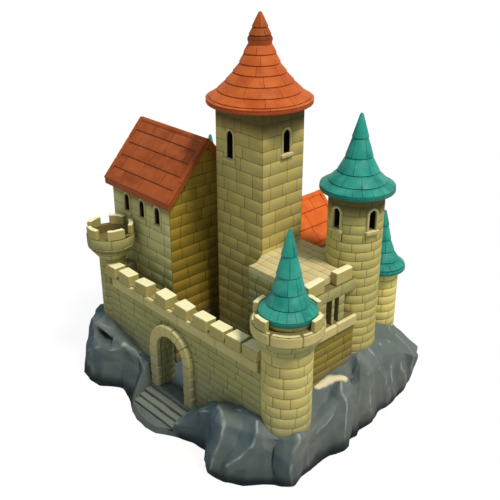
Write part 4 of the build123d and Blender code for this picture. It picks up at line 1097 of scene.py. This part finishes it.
def hewn(boxes, place=None, parts=1, jitter=0.02):
    """Boxes of u, v and w ranges, cut into parts along u, nudged at random and carried by place."""
    boxes = np.asarray(boxes, float)
    count = len(boxes)
    share = np.linspace(0, 1, parts + 1)
    grid = np.empty((count, parts + 1, 4, 3))
    grid[..., 0] = (boxes[:, 0, :1] + (boxes[:, 0, 1:] - boxes[:, 0, :1]) * share)[..., None]
    grid[..., 1] = boxes[:, 1][:, [0, 1, 1, 0]][:, None]
    grid[..., 2] = boxes[:, 2][:, [0, 0, 1, 1]][:, None]
    grid += draw.uniform(-jitter, jitter, grid.shape)
    points = grid if place is None else place(grid[..., 0], grid[..., 1], grid[..., 2])
    index = np.arange(grid[0, ..., 0].size).reshape(parts + 1, 4)
    turned = np.roll(index, -1, 1)
    sides = np.stack([index[:-1], turned[:-1], turned[1:], index[1:]], -1).reshape(-1, 4)
    quads = np.concatenate([sides, index[:1, ::-1], index[-1:]])
    one = points[0].reshape(-1, 3)
    middle = one.mean(0)
    first = one[quads[0]]
    if np.cross(first[1] - first[0], first[2] - first[0]) @ (first.mean(0) - middle) < 0:
        quads = quads[:, ::-1]
    faces = (quads.ravel() + np.arange(count)[:, None] * index.size).reshape(-1, 4).tolist()
    tone = np.repeat(draw.uniform(0, 1, count), index.size)
    return points.reshape(-1, 3), faces, np.zeros(len(tone)), tone


def lay_verges(roof, along_x, drop, rows):
    """Rounded tiles down both gable edges of both slopes of a roof that fills a box."""
    sets = []
    for side, end in ((-1, 0), (-1, 1), (1, 0), (1, 1)):
        eave, top, inward = slope_ends(roof, along_x, drop, side, end)
        carry = on_slope(eave, inward, top - eave)
        steps = np.linspace(verge_foot, (top - eave).length, rows + 1)
        boxes = [(step, verge_across, verge_deep) for step in pairwise(steps)]
        sets.append(hewn(boxes, lambda u, v, w, carry=carry: carry(v, u, w), jitter=0.006))
    return sets


hall_ridge_row = lay_ridge(hall_roof, along_x=True, length=1.6)
range_ridge_row = lay_ridge(range_roof, along_x=False, length=1.2)
hall_verges = lay_verges(hall_roof, along_x=True, drop=hall_drop, rows=3)
range_verges = lay_verges(range_roof, along_x=False, drop=range_drop, rows=2)
lay_stones("hall_ridge_tiles", [hall_ridge_row], hall_finish, "red_tile")
lay_stones("range_ridge_tiles", [range_ridge_row], sunlit_range_finish, "red_tile")
lay_stones("hall_verge_tiles", hall_verges, hall_finish, "red_tile", worn=0.07)
lay_stones("range_verge_tiles", range_verges, sunlit_range_finish, "red_tile", worn=0.06)

# Merlons: big roughly squared blocks set on the wall heads, their tops painted lighter as lit, each
# cut a little differently. Those on the round tower and turret are curved to their drums.
merlon_finish = stone_finish(
    "merlon_stone", (194, 181, 116), (174, 160, 98), (112, 98, 58), (154, 140, 84), (248, 242, 198))
# Dressed stone, its tops also painted lighter as lit
dressed_finish = stone_finish(
    "dressed_stone", (216, 202, 142), (198, 182, 120), (104, 92, 52), (168, 152, 94), (226, 214, 164))


def solid_boxes(node):
    """The ranges in x, y and z of each separate solid of a node, told apart by shared corners."""
    points = node_points(node)
    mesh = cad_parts[node].data
    corners = np.empty(len(mesh.loops), int)
    mesh.loops.foreach_get("vertex_index", corners)
    same = np.unique(points.round(4), axis=0, return_inverse=True)[1].ravel()
    triangles = same[corners].reshape(-1, 3)
    label = np.arange(same.max() + 1)
    changed = True
    while changed:
        joined = label.copy()
        np.minimum.at(joined, triangles.ravel(), np.repeat(label[triangles].min(1), 3))
        changed = bool((joined != label).any())
        label = joined
    groups = label[same]
    solids = [points[groups == group] for group in np.unique(groups)]
    return [np.stack([solid.min(0), solid.max(0)], 1) for solid in solids]


merlon_slack = {"front_merlons": 0.09, "gallery_merlons": 0.0, "rear_merlons": 0.0}
for node, slack in merlon_slack.items():
    blocks = [solid + np.array([[slack, -slack], [0, 0], [0, 0]]) for solid in solid_boxes(node)]
    merlons = lay_stones(node + "_stone", [hewn(blocks, jitter=0.06)], merlon_finish, "dressed_stone", worn=0.09)
    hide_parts(node)


def ring_blocks(turns, radius, wall, foot, head):
    """Ranges of angle, radius and height of blocks round a tower, from their ranges of angle."""
    return [(turn, (radius - wall, radius), (foot, head)) for turn in turns]


crown_merlon_wall = 0.35
crown_turns = np.radians([(-2.6, 28.0), (68.0, 98.6), (177.4, 208.0), (248.0, 278.6)])
crown_top = box("front_tower_merlons")
crown_merlons = ring_blocks(crown_turns, crown.radius, crown_merlon_wall, crown_top.foot, crown_top.head)
on_front_tower = on_turn(front_tower.x, front_tower.y)
tower_merlons = lay_stones(
    "front_tower_merlons_stone", [hewn(crown_merlons, on_front_tower, parts=4)],
    merlon_finish, "dressed_stone", worn=0.07)
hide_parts("front_tower_merlons")
turret = drum("corner_turret")
turret_top = drum("corner_turret_merlons")
turret_wall = 0.38
turret_gap = 0.76
turret_gaps = 5
turret_turn = 18
turret_middles = np.radians(turret_turn) + (np.arange(turret_gaps) + 0.5) * 2 * np.pi / turret_gaps
turret_half = np.pi / turret_gaps - turret_gap / 2 / (turret_top.radius - turret_wall / 2)
turret_turns = np.stack([turret_middles - turret_half, turret_middles + turret_half], 1)
turret_blocks = ring_blocks(turret_turns, turret_top.radius, turret_wall, turret_top.foot, turret_top.head)
turret_merlons = lay_stones(
    "corner_turret_merlons_stone", [hewn(turret_blocks, on_turn(turret.x, turret.y), parts=5)],
    merlon_finish, "dressed_stone", worn=0.06)
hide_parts("corner_turret_merlons")

# Turret: sandstone courses round a slim shaft that swells on a corbel to a wider open head. It is
# bonded into the left end of the front wall.
turret_radii = np.array([1.0, 1.0, 1.8, 1.8])
corbel_foot = 9.8
corbel_head = 10.8
turret_carry, turret_run = on_flare(
    (turret.x, turret.y), turret_radii, np.array([turret.foot, corbel_foot, corbel_head, turret.head]))
shaft_run = corbel_foot - turret.foot
turret_levels = np.concatenate([np.linspace(0, shaft_run, 14), np.linspace(shaft_run, turret_run, 4)[1:]])
turret_rows = courses(np.radians(30), np.radians(390), turret_levels, length=0.95)
turret_courses = lay_blocks(turret_rows, turret_carry, columns=4, side=0.04)
lay_stones("turret_stones", [turret_courses], wall_finish, "wall_stone")

# Rails and crown: long rounded lengths of dressed stone under the merlons, bedded on the wall heads,
# and the ring that the front tower's crown carries on its corbel.
cornice_tall = (cornice.foot, cornice.head)
cornice_bed = 0.05
side_cornice = 0.28
front_rail = np.linspace(cornice.left, 8.3, 5)
side_rail = np.linspace(-2.85, 3.4, 4)
front_deep = (cornice.near, front.near + cornice_bed)
side_deep = (right.right - cornice_bed, right.right + side_cornice)
front_lengths = [(run, front_deep, cornice_tall) for run in pairwise(front_rail)]
side_lengths = [(side_deep, run, cornice_tall) for run in pairwise(side_rail)]
cornices = lay_stones(
    "cornice_stones", [hewn(front_lengths, jitter=0.006), hewn(side_lengths, jitter=0.006)],
    dressed_finish, "dressed_stone", worn=0.14)
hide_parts("curtain_cornices")
crown_foot_radius = 1.71
crown_drum = 11.0
crown_seam = 0.4
ring_past = 0.05
ring_wall = 0.45
ring_under = 0.04
ring_over = 0.01
crown_carry, crown_run = on_flare(
    (front_tower.x, front_tower.y),
    np.array([crown_foot_radius, crown.radius]), np.array([crown.foot, crown_drum]))
crown_courses = courses(crown_seam, crown_seam + 2 * np.pi, np.linspace(0, crown_run, 3), length=0.62)
crown_corbel = lay_blocks(crown_courses, crown_carry, columns=4, side=0.03)
lay_stones("crown_corbel_stones", [crown_corbel], wall_finish, "wall_stone")
ring_turns = np.linspace(0, 2 * np.pi, 8) + 0.5
ring_stones = ring_blocks(
    pairwise(ring_turns), crown.radius + ring_past, ring_wall, crown_drum - ring_under, crown.head + ring_over)
lay_stones(
    "crown_ring_stones", [hewn(ring_stones, on_front_tower, parts=10, jitter=0.0)],
    dressed_finish, "dressed_stone", worn=0.15)

# Gate arch: nine wedge stones on four jamb blocks a side, of dressed stone rounded by wear. They are
# built into the front wall and stand out of its face.
arch_stones = 9
jamb_blocks = 4
arch_deep = (arch.near, arch.far)
wedges = [(turn, (gate_half, arch_half), arch_deep) for turn in pairwise(np.linspace(0, np.pi, arch_stones + 1))]
jambs = [
    (sorted((gate_middle + side * gate_half, gate_middle + side * arch_half)), arch_deep, tall)
    for side in (-1, 1) for tall in pairwise(np.linspace(arch.foot, gate.foot, jamb_blocks + 1))
]
gate_arch = lay_stones(
    "gate_arch_stones", [hewn(wedges, on_arch, parts=3, jitter=0.012), hewn(jambs, jitter=0.018)],
    dressed_finish, "dressed_stone", worn=0.10)
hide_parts("gate_arch")

# Windows: a flat band of dressed stone follows each arched opening, over a sill that throws rain.
# Each has its spot at the middle of the sill, its turn in degrees, its width and its height.
sill_past = 0.25
sill_deep = (-0.12, 0.22)
frame_section = np.array([(0.0, -0.10), (0.0, 0.05), (0.03, 0.095), (0.13, 0.095), (0.17, 0.05), (0.17, -0.10)])
window_planes = [((x, hall.near, hall_window[2]), 0, *hall_window[:2]) for x in hall_window_x]
window_planes.append(((keep_front_window_x, keep.near, keep_front_window[2]), 0, *keep_front_window[:2]))
window_planes.append(((keep.right, keep_right_window_y, keep_right_window[2]), 90, *keep_right_window[:2]))
for turn in tower_window_turns:
    spot = on_turn(right_tower.x, right_tower.y)(np.radians(turn), right_tower.radius, tower_window[2])
    window_planes.append((spot, turn + 90, *tower_window[:2]))


def on_window(spot, turn):
    """Length across, height and depth off the wall carried to a window turned about the vertical."""
    cosine, sine = np.cos(np.radians(turn)), np.sin(np.radians(turn))
    return on_plane(spot, (cosine, sine, 0), (0, 0, 1), (sine, -cosine, 0))


def window_frame(spot, turn, width, height):
    """A section carried up one jamb, round the half round head and down the other, closed at both feet."""
    half = width / 2
    head = np.linspace(0, np.pi, 17)
    edge_u = np.concatenate([[half], half * np.cos(head), [-half]])
    edge_v = np.concatenate([[0], height - half + half * np.sin(head), [0]])
    way_u = np.concatenate([[1], np.cos(head), [-1]])
    way_v = np.concatenate([[0], np.sin(head), [0]])
    off, out = frame_section.T
    points = on_window(spot, turn)(
        edge_u[:, None] + way_u[:, None] * off, edge_v[:, None] + way_v[:, None] * off,
        np.broadcast_to(out, (len(edge_u), len(out))))
    index = np.arange(points[..., 0].size).reshape(points.shape[:2])
    turned = np.roll(index, -1, 1)
    quads = np.stack([index[:-1], index[1:], turned[1:], turned[:-1]], -1).reshape(-1, 4).tolist()
    faces = quads + [index[0].tolist(), index[-1][::-1].tolist()]
    flat = np.zeros(index.size)
    return points.reshape(-1, 3), faces, flat, flat + draw.uniform(0, 1)


window_frames = [window_frame(*window) for window in window_planes]
frames = lay_stones("window_frames", window_frames, dressed_finish, "dressed_stone")
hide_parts("window_surrounds")
window_sills = [
    hewn([((-width / 2 - sill_past, width / 2 + sill_past), (-sill_depth, 0.0), sill_deep)],
         on_window(spot, turn), jitter=0.006)
    for spot, turn, width, height in window_planes
]
sills = lay_stones("window_sill_stones", window_sills, dressed_finish, "dressed_stone", worn=0.05)
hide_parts("window_sills")

# Approach: worn treads of grey stone before the gate, bedded on the rock that is cut down for them.
step_finish = stone_finish("step_stone", (124, 138, 133), (114, 127, 123), (84, 92, 98), (100, 112, 112))
step_blocks = hewn(solid_boxes("approach_steps"), parts=6)
treads = lay_stones("approach_treads", [step_blocks], step_finish, "step_stone", worn=0.11)
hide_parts("approach_steps")

# Floors: stone flags laid on the terrace, and oak boards in the hall and the keep. The floors of the
# gallery and the right tower are plain, of the same stone and oak.
flag_finish = stone_finish("flagstone", (222, 208, 160), (204, 188, 136), (120, 104, 66), (186, 168, 116))
board_finish = stone_finish("floor_boards", (132, 96, 60), (104, 72, 44), (40, 28, 18), (90, 62, 38))
flag_course = 0.72
board_width = 0.32


def terrace_edges(y):
    """The terrace's two sides at a depth: past the keep's corner on the left, the tower on the right."""
    left = np.interp(y, [gallery_corner_y, keep.near], [gallery.left, keep.right])
    beside = right_tower.radius**2 - (y - right_tower.y) ** 2
    return left, right_tower.x - np.sqrt(beside) if beside > 0 else parapet.left


flag_plan = terrace._replace(left=keep.right, right=parapet.left)
flags = floor_blocks(
    flag_plan, terrace.head, flag_course, length=1.5, edges=terrace_edges, proud=0.02, chamfer=0.04)
lay_stones("terrace_flags", [flags], flag_finish, "flagstone")
boards = [
    floor_blocks(floor, floor.head, board_width, length=3.0, proud=0.015, chamfer=0.02)
    for floor in (box("hall_floor"), box("keep_floor"))
]
lay_stones("floor_boards", boards, board_finish, "floor_timber")

# Cores: each solid that still shows between the stones and tiles takes the finish of what lies on it.
finish_nodes = (
    (red_finish, ("keep_roof",)), (shaded_cap_finish, ("keep_roof_cap",)),
    (sunlit_range_finish, ("range_roof",)), (hall_finish, ("hall_roof",)),
    (teal_finish, ("front_tower_roof", "right_tower_roof", "rear_tower_roof", "far_tower_roof")),
    (flag_finish, ("terrace", "gallery_floor")),
    (board_finish, ("hall_floor", "keep_floor", "right_tower_floor")),
    (keep_finish, ("keep_front_wall", "keep_right_wall", "keep_back_wall", "keep_left_wall")),
    (hall_stone_finish, ("hall_window_wall", "hall_front_wall", "hall_back_wall", "hall_gables")),
    (right_tower_finish, ("right_tower_window_piers", "right_tower_window_heads")),
)
node_finishes = {name: finish for finish, names in finish_nodes for name in names}
for name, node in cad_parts.items():
    node.data.materials.clear()
    node.data.materials.append(node_finishes.get(name, core_finish))
